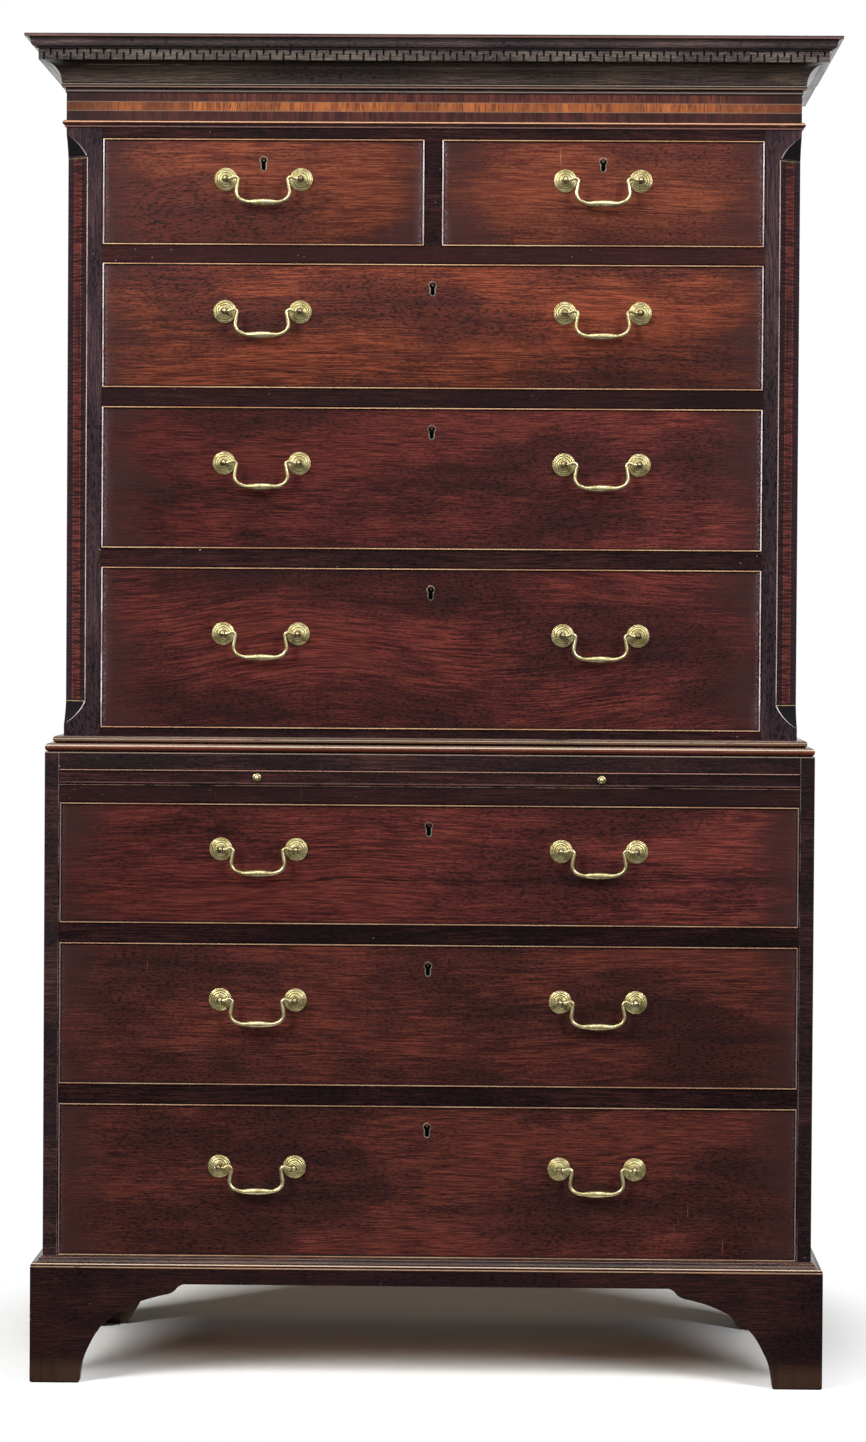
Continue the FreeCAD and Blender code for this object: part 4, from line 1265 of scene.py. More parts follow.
@dataclass
class DrawerFront(Piece):
    """A flat-grained front with a keyhole and a round-nosed cock bead let in round it."""

    name: str
    place: Place
    keyhole: Keyhole
    wood: Mahogany
    painted_light: Pair
    bead_thickness: float = 3.0
    bead_proud: float = 2.5
    bead_seat: float = 7.0
    thickness: float = 22.0
    lock_width: float = 56.0
    lock_height: float = 52.0
    lock_face: float = 9.0
    lining_depth: float = 3.0
    hole_depth: float = 8.4

    @property
    def front(self) -> float:
        """The y of the flat face."""
        return self.place.low[1] + self.bead_proud

    def corners(self, inset: float) -> Array:
        """The border's corners, and the lock's width marked on its top, as (x, z)."""
        low, high = self.place.low + inset, self.place.high - inset
        notch = self.lock_width / 2
        left, right = self.keyhole.x - notch, self.keyhole.x + notch
        return np.array([(high[0], low[2]), (high[0], high[2]), (right, high[2]),
                         (right - 0.01, high[2]), (left + 0.01, high[2]), (left, high[2]),
                         (low[0], high[2]), (low[0], low[2]), (high[0], low[2])])

    def rim(self, inset: float) -> tuple[Array, Array]:
        """The border's points in step with the rays from the keyhole's pivot.

        Args:
            inset: How far inside the drawer's full size.

        Returns:
            The rays' angles, and the points (x, z) where they cross the border.
        """
        pivot = np.array([self.keyhole.x, self.keyhole.z - self.keyhole.pivot])
        full, corners = self.corners(0.0), self.corners(inset)
        points = []
        for index, (start, end) in enumerate(zip(corners[:-1], corners[1:])):
            steps = max(1, round(math.dist(full[index], full[index + 1]) / 40.0))
            share = np.linspace(0, 1, steps, endpoint=False)[:, None]
            points.append(start + share * (end - start))
        points = np.vstack(points + [corners[-1:]])
        away = points - pivot
        return np.unwrap(np.arctan2(away[:, 1], away[:, 0])), points

    def board_shell(self) -> Shell:
        """The board: its face fans out from the keyhole to the border, then rings run back.

        Returns:
            The closed skin; slot 1 is the keyhole's well, painted near black as shade.
        """
        front, back = self.front, self.front + self.thickness
        angles, inner = self.rim(self.bead_thickness)
        outer = self.rim(0.0)[1]
        hole = self.keyhole.outline(angles, 0.0)
        small = self.keyhole.outline(angles, self.keyhole.wall)
        lock_x = np.abs(outer[:, 0] - self.keyhole.x) < self.lock_width / 2 - 0.005
        in_lock = lock_x & (outer[:, 1] > self.place.high[2] - 0.001)
        notched = outer.copy()
        notched[in_lock, 1] -= self.lock_height
        seat, lock, lip = (front + depth for depth in (self.bead_seat, self.lock_face,
                                                       self.lining_depth))
        middle = hole * 0.7 + inner * 0.3
        face, rear, well = (
            np.array([upright(flat, y) for flat, y in rings])
            for rings in (((hole, front), (middle, front), (inner, front)),
                          ((inner, front), (inner, seat), (outer, seat), (outer, lock),
                           (notched, lock), (notched, back)),
                          ((hole, front), (hole, lip), (small, lip),
                           (small, front + self.hole_depth))))
        shell = Shell().grid(face).grid(rear).grid(well, slot=1)
        return shell.cap(well[-1, :-1], 1).cap(rear[-1, :-1])

    def bead_shell(self, level: int, side: int) -> Shell:
        """The cock bead: a strip with a round nose, mitred and rubbed at the corners.

        At share t of a side of length L, the section's point at a across lies at
        corner + (a + t (L - 2 a)) along + a inward. Its nose is worn back by exp(-s s / 9)
        at distance s from a corner, and unevenly along its length.

        Args:
            level: Which material the top and bottom strips take.
            side: Which material the side strips take.

        Returns:
            The closed skin.
        """
        nose = self.bead_thickness / 2
        shoulder = self.bead_proud - nose
        section = trace([(-self.bead_seat, 0.0), (shoulder, 0.0),
                         ((self.bead_proud, nose), (shoulder, self.bead_thickness)),
                         (-self.bead_seat, self.bead_thickness)], 6)
        section = np.vstack([section, section[:1]])
        out, across = section[:, 0][None, :], section[:, 1][None, :, None]
        low, high = self.place.low, self.place.high
        corners = np.array([(low[0], low[2]), (high[0], low[2]), (high[0], high[2]),
                            (low[0], high[2]), (low[0], low[2])])
        shell = Shell()
        travelled = 0.0
        over = lengths(section)
        for index, (start, end) in enumerate(zip(corners[:-1], corners[1:])):
            span = float(np.linalg.norm(end - start))
            along = (end - start) / span
            inward = np.array([-along[1], along[0]])
            near = np.array([0.0, 1.5, 3.0, 5.0, 8.0, 14.0])
            inside = np.linspace(near[-1], span - near[-1], max(3, int(span / 25)))[1:-1]
            run = np.concatenate([near, inside, span - near[::-1]])
            share = (run / span)[:, None, None]
            flat = start + (across + share * (span - 2 * across)) * along + across * inward
            from_corner = np.minimum(run, span - run)
            rub = 0.45 * np.exp(-from_corner ** 2 / 9.0) + 0.22 * worn(
                run + travelled, self.keyhole.z)
            on_nose = np.clip(out - shoulder + 1.0, 0, 1)
            points = upright(flat, self.front - out + rub[:, None] * on_nose)
            shell.grid(points, at((run + travelled)[:, None], over),
                       side if index % 2 else level)
            travelled += span
        return shell

    def build(self) -> None:
        """Makes the front, in place of its node."""
        rear = self.front + self.thickness
        finish = AgedFront(self.wood, self.place, rear, self.painted_light).dress()
        make(self.name + "_face", [self.board_shell(), self.bead_shell(2, 3)],
             [finish, *self.wear("hollow", "bead", "side_bead")], self.name,
             "mahogany_front", self.name + "_front")


@dataclass
class SwanNeckBail(Piece):
    """A cast swan-neck bail: swelled grip, legs, curled necks and the pins it swings on."""

    name: str
    axis: Array
    post_spacing: float = 105.0
    rod: float = 2.6
    grip: float = 4.6
    grip_half_length: float = 22.0
    drop: float = 33.0
    neck_rise: float = 2.0
    pin: float = 1.7
    pin_end: float = 58.0
    pin_length: float = 5.0     # what the pin runs into the post

    @property
    def axle(self) -> float:
        """How far from the middle the neck ends and the pin starts."""
        return self.post_spacing / 2 - self.pin_length

    def half_path(self) -> Array:
        """Half the centreline, from the grip's middle to the pin's end.

        Straight runs between the corners, each corner cut by an arc of its radius.

        Returns:
            Points (x, z) about the middle of the swing axis.
        """
        corners = np.array([(0.0, -self.drop), (23.0, -self.drop), (38.5, 7.0 - self.drop),
                            (self.axle - 14.0, self.neck_rise),
                            (self.axle - 6.6, self.neck_rise), (self.axle - 3.0, 0.0),
                            (self.pin_end, 0.0)])
        radii = [0.0, 25.0, 12.0, 4.2, 3.0, 3.0, 0.0]
        points = [corners[:1]]
        for index in range(1, len(corners) - 1):
            point = corners[index]
            came, goes = (way / np.linalg.norm(way) for way in (
                corners[index - 1] - point, corners[index + 1] - point))
            half = math.acos(float(np.clip(np.dot(came, goes), -1, 1))) / 2
            reach = radii[index] / math.tan(half)
            bisector = (came + goes) / np.linalg.norm(came + goes)
            via = point + bisector * (radii[index] / math.sin(half) - radii[index])
            first, last = point + came * reach, point + goes * reach
            points += [first[None], bow(first, via, last, 10)]
        path = np.vstack(points + [corners[-1:]])
        keep = np.concatenate([[True], np.linalg.norm(np.diff(path, axis=0), axis=1) > 1e-3])
        path = path[keep]
        run = lengths(path)
        even = np.linspace(0, run[-1], 64)
        return np.stack([np.interp(even, run, path[:, axis]) for axis in (0, 1)], -1)

    def build(self) -> None:
        """Makes the bail, in place of its node.

        The grip's radius is rod + swell (1 - (x / half length)^2)^1.3, and the neck tapers
        to its pin.
        """
        half = self.half_path()
        path = np.vstack([half[:0:-1] * (-1, 1), half])
        x, z = np.abs(path[:, 0]), path[:, 1]
        swell = np.clip(1 - (x / self.grip_half_length) ** 2, 0, 1) ** 1.3
        grip = (self.grip - self.rod) * swell * (z < -self.drop / 2)
        slim = 0.30 * np.clip((z + 18.0) / 18.0, 0, 1)
        tip = np.clip((x - self.axle) / 0.8, 0, 1) * (z > -1.0)
        radii = (self.rod + grip - slim) * (1 - tip) + self.pin * tip
        make(self.name + "_rod", [rod_shell(path, radii, self.axis)], self.wear("brass"),
             self.name, "brass", self.name)


@dataclass
class DrawerBrasses(Piece):
    """Roses, posts, nuts, the keyhole's thread and the lock of one drawer."""

    name: str
    front: float
    keyhole: Keyhole
    top: float
    posts: Sequence[Pair]
    rose_radius: float = 16.0
    ball_radius: float = 4.7
    ball_out: float = 18.0
    neck_radius: float = 2.7
    wood: float = 22.0
    nut_thickness: float = 4.0
    lock_size: Pair = (56.0, 52.0)
    lock_face: float = 9.0
    bolt_size: tuple[float, float, float] = (22.4, 5.4, 14.2)
    bolt_wall: float = 2.3

    def rose_shell(self, x: float, z: float) -> Shell:
        """A stamped backplate: a rolled rim, and three low steps up to the post."""
        rim = self.rose_radius
        profile = trace([(2.4, 0.0), (rim - 0.4, 0.0), ((rim, 0.6), (rim - 0.4, 1.2)),
                         ((rim - 0.9, 1.35), (rim - 1.4, 1.0)),
                         ((rim - 2.5, 1.9), (rim - 3.6, 1.8)), (rim - 3.9, 1.5),
                         ((rim - 5.3, 2.6), (rim - 6.9, 2.5)), (rim - 7.2, 2.2),
                         ((rim - 8.3, 3.1), (6.3, 3.2)), ((5.6, 3.7), (4.8, 3.5)),
                         (3.9, 3.5), (2.4, 3.6), (2.4, 0.0)], 5)
        return turned_shell(profile, (x, self.front, z), 40)

    def post_shell(self, x: float, z: float) -> Shell:
        """A turned post: shank, collar, slender neck and round head."""
        inside = -self.wood - self.nut_thickness - 1.0
        neck, ball, out = self.neck_radius, self.ball_radius, self.ball_out
        waist = out - math.sqrt(ball ** 2 - (neck - 0.3) ** 2)
        profile = trace([(0.0, inside), (2.2, inside), (2.45, inside + 0.4), (2.45, 3.4),
                         (3.6, 3.5), ((4.1, 4.5), (3.5, 5.5)), (neck, 6.0),
                         ((neck - 0.4, 9.6), (neck - 0.3, waist)),
                         ((ball, out), (1.6, out + 4.42)), ((0.9, out + 4.66),
                                                            (0.0, out + 4.7))], 7)
        return turned_shell(profile, (x, self.front, z), 24, 1)

    def nut_shell(self, x: float, z: float) -> Shell:
        """The nut inside the drawer, with eased edges."""
        high, low = -self.wood, -self.wood - self.nut_thickness
        profile = np.array([(2.4, low), (5.6, low), (6.4, low + 0.8), (6.4, high - 0.4),
                            (6.0, high), (2.4, high), (2.4, low)])
        return turned_shell(profile, (x, self.front, z), 6 * 2)

    def lock_shells(self) -> list[Shell]:
        """The lock's body with its bolt pocket, a cover plate and four rivets.

        Rings of four corners run up the outside, in to the pocket's mouth and down it.
        """
        width, height = self.lock_size
        x, near, far = self.keyhole.x, self.front + self.lock_face, self.front + self.wood
        bolt_width, bolt_depth, bolt_height = self.bolt_size
        low = self.top - height
        pocket = near + self.bolt_wall
        mouth = (bolt_width / 2, pocket, pocket + bolt_depth)
        rings = ((width / 2, near, far, low), (width / 2, near, far, self.top),
                 (*mouth, self.top), (*mouth, self.top - bolt_height))
        rows = np.array([[(x - half, y0, level), (x + half, y0, level), (x + half, y1, level),
                          (x - half, y1, level), (x - half, y0, level)]
                         for half, y0, y1, level in rings])
        body = Shell().grid(rows).cap(rows[0, :-1]).cap(rows[-1, :-1])
        cover = box_shell((x - width / 2 + 3, x + width / 2 - 3), (far - 0.3, far + 0.5),
                          (low + 3, self.top - 6), 0.2)
        pin = trace([(0.0, -0.5), (1.6, -0.5), (1.6, 5.4), ((1.1, 6.2), (0.0, 6.4))], 5)
        shells = [body, cover, turned_shell(pin, (x, near, self.keyhole.z), 14)]
        for side in (-1, 1):
            for level in (low + 8, self.top - 11):
                dome = trace([(0.0, -0.4), (2.2, -0.4), (2.2, 0.0), ((1.5, 0.6), (0.0, 0.8))])
                centre = (x + side * (width / 2 - 8), far + 0.4, level)
                shells.append(turned_shell(dome * (1, -1), centre, 12))
        return shells

    def build(self) -> None:
        """Makes the brasses in place of their node."""
        shells = []
        for x, z in self.posts:
            shells += [self.rose_shell(x, z), self.post_shell(x, z), self.nut_shell(x, z)]
        make(self.name + "_posts_and_roses", shells, self.wear("rose", "post"), self.name,
             "brass", self.name + "_brasses")
        make(self.name + "_escutcheon", [self.keyhole.thread(self.front)],
             self.wear("thread"), self.name, "brass")
        make(self.name + "_lock", self.lock_shells(), self.wear("iron"), self.name,
             "lock_steel")


@dataclass
class Drawer(Piece):
    """One drawer: front, linings, brasses, bolt and bails."""

    name: str
    wood: Mahogany
    painted_light: Pair
    bails: Sequence[str]
    bead_proud: float = 2.5
    opening_over: float = 1.0
    keyhole_drop: float = 31.0
    post_half: float = 52.5
    lining: float = 10.0

    def build(self) -> None:
        """Makes every piece of the drawer."""
        place = Place.of(self.name + "_front")
        top = place.high[2]
        keyhole = Keyhole(place.middle[0], top + self.opening_over - self.keyhole_drop)
        DrawerFront(self.finishes, self.name, place, keyhole, self.wood, self.painted_light).build()
        posts = []
        for bail in self.bails:
            joint = next(j for j in frame["joints"] if j["child"] == bail)
            axis = np.array(joint["pos_m"]) / MM
            SwanNeckBail(self.finishes, bail, axis).build()
            posts += [(axis[0] + side * self.post_half, axis[2]) for side in (-1, 1)]
        DrawerBrasses(self.finishes, self.name, place.low[1] + self.bead_proud, keyhole, top,
                      posts).build()
        low, high = place.low * MM, place.high * MM
        oak = PlainWood(self.name + "_oak", Grain.X, (176, 144, 100), (132, 98, 62),
                        self.wood.seed, 85.0)
        dress_node(self.name + "_box", DrawerOak(oak, low[0], high[0],
                                                 self.lining * MM).dress())
        dress_node(self.name + "_lock_bolt", self.finishes["iron"])


# --- mouldings
@dataclass
class WaistMoulding(Piece):
    """A bold roll over the lower case's edge, and a smaller one stepped in above it."""

    case: CaseEdge
    low: float
    height: float = 22.0
    roll: float = 12.0
    step: float = 10.0
    inner: float = 23.7

    def build(self) -> None:
        """Makes the moulding in place of its node."""
        half, upper = self.roll / 2, (self.height - self.roll) / 2
        face = -self.step
        section = trace([(-self.inner, 0.0), (-half, 0.0), ((0.0, half), (-half, self.roll)),
                         (face - upper + 1.2, self.roll), (face - upper + 1.2, self.roll + 0.4),
                         ((face, self.roll + upper), (face - upper, self.height)),
                         (-self.inner, self.height)], 12)
        make("waist_roll", [self.case.run(section, self.low)], self.wear("roll"),
             "lower_case", "mahogany_moulding", "waist_moulding")


@dataclass
class BaseMoulding(Piece):
    """A fillet, an ogee and a small step between the plinth and the lower case."""

    case: CaseEdge
    low: float
    height: float = 17.0
    projection: float = 16.0
    step: float = 5.0
    fillet: float = 4.0

    def build(self) -> None:
        """Makes the moulding in place of its node."""
        top = self.height - self.step / 2
        middle = ((self.projection + self.step) / 2, (self.fillet + top) / 2)
        swell = ((self.projection + middle[0]) / 2 + 1.0, (self.fillet + middle[1]) / 2 + 1.0)
        hollow = ((self.step + middle[0]) / 2 - 1.0, (top + middle[1]) / 2 - 1.0)
        section = trace([(0.0, 0.0), (self.projection - 0.5, 0.0), (self.projection, 0.5),
                         (self.projection, self.fillet - 0.5),
                         (self.projection - 0.5, self.fillet), (swell, middle),
                         (hollow, (self.step, top)), (self.step / 2 + 0.4, top),
                         (self.step / 2, top + 0.4), (self.step / 2, self.height - 0.5),
                         (self.step / 2 - 0.5, self.height), (0.0, self.height)], 7)
        make("base_ogee", [self.case.run(section, self.low)], self.wear("base"),
             "lower_case", "mahogany_moulding", "base_moulding")


@dataclass
class Frieze(Piece):
    """A bead under three cross-banded strips of veneer on a hollow frame."""

    case: CaseEdge
    low: float
    fillet: Pair = (2.2, 2.6)        # how far out, and how high
    roll: float = 7.0
    bead_out: float = 5.3
    bands: tuple[float, float, float] = (13.0, 13.6, 11.8)
    board_depth: float = 21.0

    def build(self) -> None:
        """Makes the frieze in place of its node."""
        (out, rise), nose = self.fillet, self.bead_out - self.roll / 2
        bead_height = rise + self.roll
        bead = trace([(-1.0, 0.0), (out, 0.0), (out, rise), (nose, rise),
                      ((self.bead_out, rise + self.roll / 2), (nose, bead_height)),
                      (-1.0, bead_height)], 12)
        height = bead_height + sum(self.bands)
        shells = [self.case.run(board(-self.board_depth, -1.0, height), self.low, 1)]
        shells.append(self.case.run(bead, self.low, 0, 300.0))
        level = self.low + bead_height
        for index, band in enumerate(self.bands):
            strip = np.roll(board(-1.0, 0.0, band), -1, axis=0)
            shells.append(self.case.run(strip, level, 2 + index, 700.0 * index))
            level += band
        inside = self.case.half - self.board_depth
        shells.append(box_shell((-inside, inside), (self.case.back - BOARD, self.case.back),
                                (self.low, self.low + height), slot=1))
        finishes = self.wear("bead_wood", "pine_x", "lower_band", "satinwood", "upper_band")
        make("frieze_banding", shells, finishes, "upper_case", "satinwood", "frieze")


@dataclass
class Cornice(Piece):
    """A neck, a cove, a fretted band and a crown on a hollow frame."""

    case: CaseEdge
    low: float
    neck_fillet: float = 6.0
    neck_bead: float = 7.5
    cove: float = 28.5
    fret: float = 15.0
    crown: tuple[float, float, float] = (2.0, 13.0, 4.5)
    bead_out: float = 7.0
    cove_out: float = 33.0
    fret_out: float = 36.0
    crown_start: float = 39.5
    crown_out: float = 54.0
    pitch: float = 18.35
    slot_width: float = 3.0
    upper_slot: float = 8.0
    lower_slot: float = 10.0
    block: float = 40.0         # the glue blocks in the corners

    def neck(self) -> Array:
        """A flat fillet under a half-round astragal."""
        total, roll = self.neck_fillet + self.neck_bead, self.neck_bead / 2
        nose = self.bead_out - roll
        return trace([(0.0, 0.0), (1.5, 0.0), (1.5, self.neck_fillet),
                      (nose, self.neck_fillet),
                      ((self.bead_out, self.neck_fillet + roll), (nose, total)),
                      (0.0, total)], 12)

    def hollow(self) -> Array:
        """The deep cove under the fret."""
        start, end = self.bead_out - 0.5, self.cove_out
        turn = math.cos(math.pi / 4)
        via = (end - (end - start) * turn, self.cove * turn)
        return trace([(0.0, 0.0), (start, 0.0), (via, (end, self.cove)), (0.0, self.cove)], 16)

    def top(self) -> Array:
        """A fillet, a swept ogee and the top fillet, with rubbed arrises."""
        low, high = self.crown[0], self.crown[0] + self.crown[1]
        start, end = self.crown_start, self.crown_out - 1.5
        middle = ((start + end) / 2, (low + high) / 2)
        swell = ((start + middle[0]) / 2 + 1.4, (low + middle[1]) / 2 - 1.4)
        hollow = ((end + middle[0]) / 2 - 1.4, (high + middle[1]) / 2 + 1.4)
        height = sum(self.crown)
        return trace([(0.0, 0.0), (start - 0.5, 0.0), (start, 0.5), (start, low),
                      (swell, middle), (hollow, (end, high)), (self.crown_out - 0.5, high),
                      (self.crown_out, high + 0.5), (self.crown_out, height - 0.7),
                      (self.crown_out - 0.7, height), (0.0, height)], 9)

    def fret_shell(self, side: int, level: float) -> Shell:
        """The fret along one side, as cells of a lattice.

        The band is parted along its length at the slots' sides and up its height at their
        ends; the cells that aren't slots are filled, and a face stands wherever a filled
        cell has no neighbour.

        Args:
            side: The front (0) or a flank (-1 or 1).
            level: The fret's lower edge.

        Returns:
            The closed skin.
        """
        plan = self.case.grown(self.cove_out)
        length = plan.back - plan.front if side else 2 * plan.half
        count = max(2, round(length / self.pitch))
        pitch, half = length / count, self.slot_width / 2
        unit = np.array([0.25 * pitch - half, 0.25 * pitch + half, 0.75 * pitch - half,
                         0.75 * pitch + half, pitch])
        along = np.concatenate([[0.0], (np.arange(count)[:, None] * pitch + unit).ravel()])
        up = np.array([0.0, self.fret - self.upper_slot, self.lower_slot, self.fret])
        solid = np.ones((len(along) - 1, 3), bool)
        solid[1::5, :2] = False
        solid[3::5, 1:] = False
        padded = np.pad(solid, 1)
        inner, outer = -0.3, self.fret_out - self.cove_out
        shell = Shell()
        for i, k in np.argwhere(solid):
            (a, b), (low, high) = along[i:i + 2], up[k:k + 2]
            faces = [((a, b, b, a), (out,) * 4, (low, low, high, high))
                     for out in (inner, outer)]
            faces += [((edge,) * 4, (inner, outer, outer, inner), (low, low, high, high))
                      for step, edge in ((0, a), (2, b)) if not padded[i + step, k + 1]]
            faces += [((a, b, b, a), (inner, inner, outer, outer), (edge,) * 4)
                      for step, edge in ((0, low), (2, high)) if not padded[i + 1, k + step]]
            for run, out, rise in np.array(faces):
                shell.cap(plan.along(side, run, out, level + rise), 0, at(run, out + rise))
        return shell

    def build(self) -> None:
        """Makes the cornice in place of its node."""
        case = self.case
        height = self.neck_fillet + self.neck_bead + self.cove + self.fret + sum(self.crown)
        frame_height = height - self.crown[2]
        shells = [case.run(board(-BOARD, 0.0, frame_height), self.low, 1)]
        inside, near, far = case.half - BOARD, case.front + BOARD, case.back - BOARD
        levels = (self.low, self.low + frame_height)
        shells.append(box_shell((-inside, inside), (far, case.back), levels, slot=1))
        for side in (-1, 1):
            block = sorted((side * inside, side * (inside - self.block)))
            for y in ((near, near + self.block), (far - self.block, far)):
                shells.append(box_shell(block, y, levels, 1.5, slot=1))
        level = self.low
        shells.append(case.run(self.neck(), level, 2, 400.0))
        level += self.neck_fillet + self.neck_bead
        shells.append(case.run(self.hollow(), level, 3, 900.0))
        level += self.cove
        shells.append(case.run(board(0.0, self.cove_out, self.fret), level, 3, 1300.0))
        plan, proud = case.grown(self.cove_out), self.fret_out - self.cove_out
        shells.append(self.fret_shell(0, level))
        for side in (-1, 1):
            shells.append(self.fret_shell(side, level))
            corner = sorted((side * (plan.half - 0.2), side * (plan.half + proud)))
            shells.append(box_shell(corner, (plan.front - proud, plan.front + 0.2),
                                    (level, level + self.fret), 0.3))
        level += self.fret
        shells.append(case.run(self.top(), level, 4, 1700.0))
        make("cornice_mouldings", shells, self.wear("fret", "pine_x", "neck", "cove", "crown"),
             "upper_case", "mahogany_moulding", "cornice")


# --- corners and feet
@dataclass
class CantedCorners(Piece):
    """Corner posts whose arris is cut away between two scooped stops and veneered."""

    half: float
    front: float
    stile: float = 50.0
    depth: float = 44.0
    width: float = 30.0
    bottom_margin: float = 38.0
    top_margin: float = 10.0
    tongue: float = 32.0
    hollow: float = 4.8

    def build(self) -> None:
        """Makes both posts in place of their node.

        At height z the chamfer takes c(z) off both faces of the post, where c follows an
        arc at each stop and is the full width between them.
        """
        place = Place.of("canted_corners")
        low, high = place.low[2] + self.bottom_margin, place.high[2] - self.top_margin
        full, scoop = self.width / math.sqrt(2), self.tongue / 2
        lower = trace([(0.0, low), ((full / 2, low + scoop - self.hollow),
                                    (full, low + self.tongue))], 14)
        upper = trace([(full, high - self.tongue),
                       ((full / 2, high - scoop + self.hollow), (0.0, high))], 14)
        between = np.linspace(lower[-1][1], upper[0][1], 12)[1:-1]
        cuts = np.vstack([[(0.0, place.low[2])], lower, at(full, between), upper,
                          [(0.0, place.high[2])]])
        cut, level = cuts[:, 0] * math.sqrt(2), cuts[:, 1]
        inner, back = self.half - self.stile, self.front + self.depth
        share = np.linspace(0, 1, 5)
        arris = [(self.half - cut * (1 - t), self.front + cut * t) for t in share]
        plan = [(inner, self.front), *arris, (self.half, back), (inner, back),
                (inner, self.front)]
        over = [-90.0] + [t * self.width * math.sqrt(2) for t in share] + [90, 130, 170]
        grain = np.stack([at(level, o) for o in over], 1)
        shells = []
        for side in (-1, 1):
            rows = np.stack([at(side * x, y, level) for x, y in plan], 1)
            flat = Shell().grid(rows[:, 5:], grain[:, 5:], 0).grid(rows[:, :2], grain[:, :2], 0)
            first, last = len(lower), len(cuts) - len(upper)
            flat.grid(rows[:first + 1, 1:6], grain[:first + 1, 1:6], 0)
            flat.grid(rows[first:last + 1, 1:6], grain[first:last + 1, 1:6], 1)
            flat.grid(rows[last:, 1:6], grain[last:, 1:6], 0)
            shells.append(flat.cap(rows[0, :-1]).cap(rows[-1, :-1]))
        make("cant_posts", shells, self.wear("stile", "cant"), "upper_case",
             "mahogany_rail", "canted_corners", angle=20.0)


@dataclass
class BracketFeet(Piece):
    """A plinth cut into bracket feet: a quarter round and a cusp rise from each foot."""

    case: CaseEdge
    projection: float = 16.0
    thickness: float = 22.0
    foot: float = 69.0
    rise: float = 139.0
    top: float = 159.0
    rear_foot: float = 150.0
    rail_width: float = 70.0
    block: float = 40.0
    ease: float = 1.1

    def bracket(self) -> Array:
        """The lower edge of one bracket: (along from the corner, up)."""
        curve = flow([(self.foot, 0.0), (73.3, 29.0), (82.0, 51.0), (97.3, 76.5),
                      (121.2, 98.0), (151.4, 113.4), (178.0, 121.8), (193.5, 125.4),
                      (201.5, 129.6), (207.0, 135.6), (213.5, self.rise)])
        worn_foot = [(0.0, 2.2), (0.8, 1.0), (2.4, 0.25), (5.0, 0.0), (20.0, 0.0),
                     (45.0, 0.0), (self.foot - 2.5, 0.0), (self.foot - 0.6, 0.5)]
        curve[0] = (self.foot, 2.2)
        return np.vstack([worn_foot, curve])

    def board_shell(self, side: int) -> Shell:
        """A plinth board: vertical lines rise from its shaped lower edge to its top.

        A mitred end runs back by the board's thickness at its inner face. Both ends of the
        front board are mitred, and the front ends of the flanks.

        Args:
            side: The front (0) or a flank (-1 or 1).

        Returns:
            The closed skin.
        """
        plan, bracket = self.case.grown(self.projection), self.bracket()
        length = plan.back - plan.front if side else 2 * plan.half
        along, up = np.vstack([bracket, (length, 0.0) + bracket[::-1] * (-1, 1)]).T
        inner = np.clip(along, self.thickness, length - self.thickness * (not side))
        share = np.array([0.0, 0.02, 0.06, 0.15, 0.4, 0.7, 0.94, 1.0])[:, None]
        height = up + share * (self.top - up)
        ease = self.ease
        front = plan.along(side, along, -ease * (share < 0.001), height)
        rear = plan.along(side, inner, -self.thickness, height)
        under = plan.along(side, np.stack([along, along * 0.7 + inner * 0.3, inner]),
                           -np.array([[ease], [self.thickness / 2], [self.thickness]]), up)
        grain = at(along, np.where(share < 0.001, up + ease, height))
        shell = Shell().grid(front, grain).grid(rear, grain)
        shell.grid(under, at(along, up - np.array([[8.0], [16.0], [24.0]])))
        shell.grid(np.stack([front[-1], rear[-1]]), np.stack([grain[-1], grain[-1] + 4]))
        for end in (0, -1):
            shell.cap(np.concatenate([front[:, end], rear[::-1, end], under[1:2, end]]))
        return shell

    def build(self) -> None:
        """Makes the plinth in place of its node."""
        plan, thickness = self.case.grown(self.projection), self.thickness
        half, front, back = plan.half, plan.front, plan.back
        inner, rail = half - thickness, half - self.rail_width
        shells = [self.board_shell(0)]
        for side in (-1, 1):
            shells.append(self.board_shell(side))
            slope = np.array([(inner, 0.0), (inner - self.foot, 0.0),
                              (inner - self.rear_foot, self.rise), (inner, self.rise),
                              (inner, 0.0)]) * (side, 1)
            rows = np.stack([upright(slope, y) for y in (back - thickness, back)])
            shells.append(Shell().grid(rows, slot=1).cap(rows[0, :-1], 1)
                          .cap(rows[1, :-1], 1))
            block = sorted((side * inner, side * (inner - self.block)))
            for y in ((front + thickness, front + thickness + self.block),
                      (back - thickness - self.block, back - thickness)):
                shells.append(box_shell(block, y, (6.0, self.rise), 1.5, 1))
            shells.append(box_shell(sorted((side * inner, side * rail)),
                                    (front + thickness, back), (self.rise, self.top), 0.5, 1))
        for y in ((front + thickness, front + self.rail_width),
                  (back - self.rail_width, back)):
            shells.append(box_shell((-rail, rail), y, (self.rise, self.top), 0.5, 1))
        make("plinth_and_feet", shells, self.wear("plinth", "dirt_and_shade_pine"), "lower_case",
             "mahogany_moulding", "bracket_feet")


